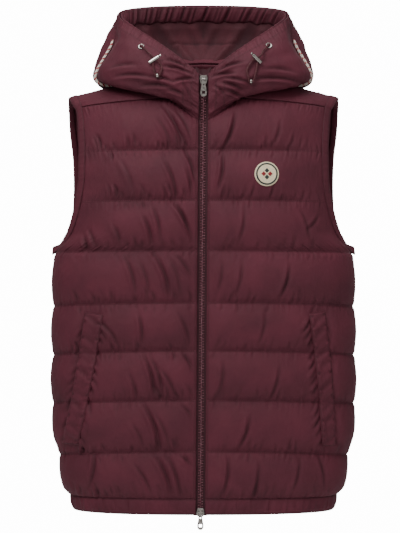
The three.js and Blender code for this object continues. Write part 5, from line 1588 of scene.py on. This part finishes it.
class VEST_OT_hardware(bpy.types.Operator):
    """Metal trims: softened copies of the sliders, pull tabs, cord locks, eyelets and end beads."""
    bl_idname = "vest.hardware"
    bl_label = "Metal trims"

    def execute(self, context):
        bodies = {"zip_pull_upper": "upper_pull", "zip_pull_lower": "lower_pull"}
        softened = {"zip_slider_upper": 0.35, "zip_slider_lower": 0.35, "zip_pull_upper": 0.3, "zip_pull_lower": 0.3,
                    "cord_lock_left": 0.35, "cord_lock_right": 0.35, "eyelet_left": 0.2, "eyelet_right": 0.2,
                    "cord_end_left": 0.3, "cord_end_right": 0.3}
        for name, width in softened.items():
            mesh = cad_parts[name].data.copy()
            merged = bmesh.new()
            merged.from_mesh(mesh)
            bmesh.ops.remove_doubles(merged, verts=merged.verts, dist=2e-6)
            bmesh.ops.dissolve_limit(merged, angle_limit=math.radians(2), verts=merged.verts, edges=merged.edges)
            merged.to_mesh(mesh)
            merged.free()
            mesh.materials.clear()
            mesh.materials.append(finish("metal"))
            piece = add_object(name + "_cast", mesh)
            bevel = piece.modifiers.new("soft edges", "BEVEL")
            bevel.width = width * MM
            bevel.segments = 2
            bevel.limit_method = "ANGLE"
            bevel.angle_limit = math.radians(28)
            bevel.use_clamp_overlap = True
            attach(piece, bodies.get(name, BODY))
            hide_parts(name)
        return {"FINISHED"}


class VEST_OT_studio(bpy.types.Operator):
    """Plain pale floor that sweeps up behind the vest, with soft light from the front and upper left."""
    bl_idname = "vest.studio"
    bl_label = "Studio"

    def execute(self, context):
        s = np.linspace(0, 1, 61)[:, None]
        x = np.linspace(-9, 9, 21)[None, :]
        bend = np.pi / 2 * np.clip((s - 0.55) / 0.2, 0, 1)
        flat, rise = np.clip(s / 0.55, 0, 1), np.clip((s - 0.75) / 0.25, 0, 1)
        y = -4.5 + 8.0 * flat + 1.2 * np.sin(bend)
        z = -1.35 + 1.2 * (1 - np.cos(bend)) + 3.2 * rise
        points = vectors(x, y, z).reshape(-1, 3)
        mesh = bpy.data.meshes.new("studio_sweep")
        mesh.from_pydata(points.tolist(), [], grid_faces(61, 21).tolist())
        mesh.polygons.foreach_set("use_smooth", [True] * len(mesh.polygons))
        mesh.materials.append(finish("paper"))
        add_object("studio_sweep", mesh)
        lamps = [("key", (-1.1, -2.2, 2.0), 1.4, 72), ("fill", (1.9, -2.4, 0.6), 2.0, 14), ("top", (0, -0.5, 2.0), 1.6, 30),
                 ("front", (0, -3.6, -0.2), 2.4, 5)]
        for name, place, size, power in lamps:
            light = bpy.data.lights.new(name, "AREA")
            light.size = size
            light.energy = power
            lamp = add_object(name, light)
            lamp.location = place
            aim = mathutils.Vector((0, 0, -0.3)) - lamp.location
            lamp.rotation_euler = aim.to_track_quat("-Z", "Y").to_euler()
        world = bpy.data.worlds.new("soft studio")
        world.use_nodes = True
        world.node_tree.nodes["Background"].inputs["Color"].default_value = (1, 1, 1, 1)
        world.node_tree.nodes["Background"].inputs["Strength"].default_value = 0.3
        context.scene.world = world
        return {"FINISHED"}


PIECES = (
    VEST_OT_camera, VEST_OT_drawcords, VEST_OT_fill, VEST_OT_fronts, VEST_OT_back, VEST_OT_yokes, VEST_OT_hem,
    VEST_OT_bindings, VEST_OT_hood, VEST_OT_lining, VEST_OT_piping, VEST_OT_welts, VEST_OT_patch, VEST_OT_zip,
    VEST_OT_hardware, VEST_OT_studio,
)


class VEST_PT_sidebar(bpy.types.Panel):
    """Lists the vest's sizes, colours and pieces."""
    bl_label = "Vest"
    bl_space_type = "VIEW_3D"
    bl_region_type = "UI"
    bl_category = "Vest"

    def draw(self, context):
        for group in (context.scene.vest_sizes, context.scene.vest_colours):
            box = self.layout.box()
            for key in group.__annotations__:
                box.prop(group, key)
        for piece in PIECES:
            self.layout.operator(piece.bl_idname)


CLASSES = (VestColours, VestSizes, *PIECES, VEST_PT_sidebar)


def register():
    for kind in CLASSES:
        bpy.utils.register_class(kind)
    bpy.types.Scene.vest_colours = bpy.props.PointerProperty(type=VestColours)
    bpy.types.Scene.vest_sizes = bpy.props.PointerProperty(type=VestSizes)


def unregister():
    del bpy.types.Scene.vest_colours
    del bpy.types.Scene.vest_sizes
    for kind in reversed(CLASSES):
        bpy.utils.unregister_class(kind)


def main():
    register()
    for piece in PIECES:
        group, name = piece.bl_idname.split(".")
        getattr(getattr(bpy.ops, group), name)()


if __name__ == "__main__":
    main()
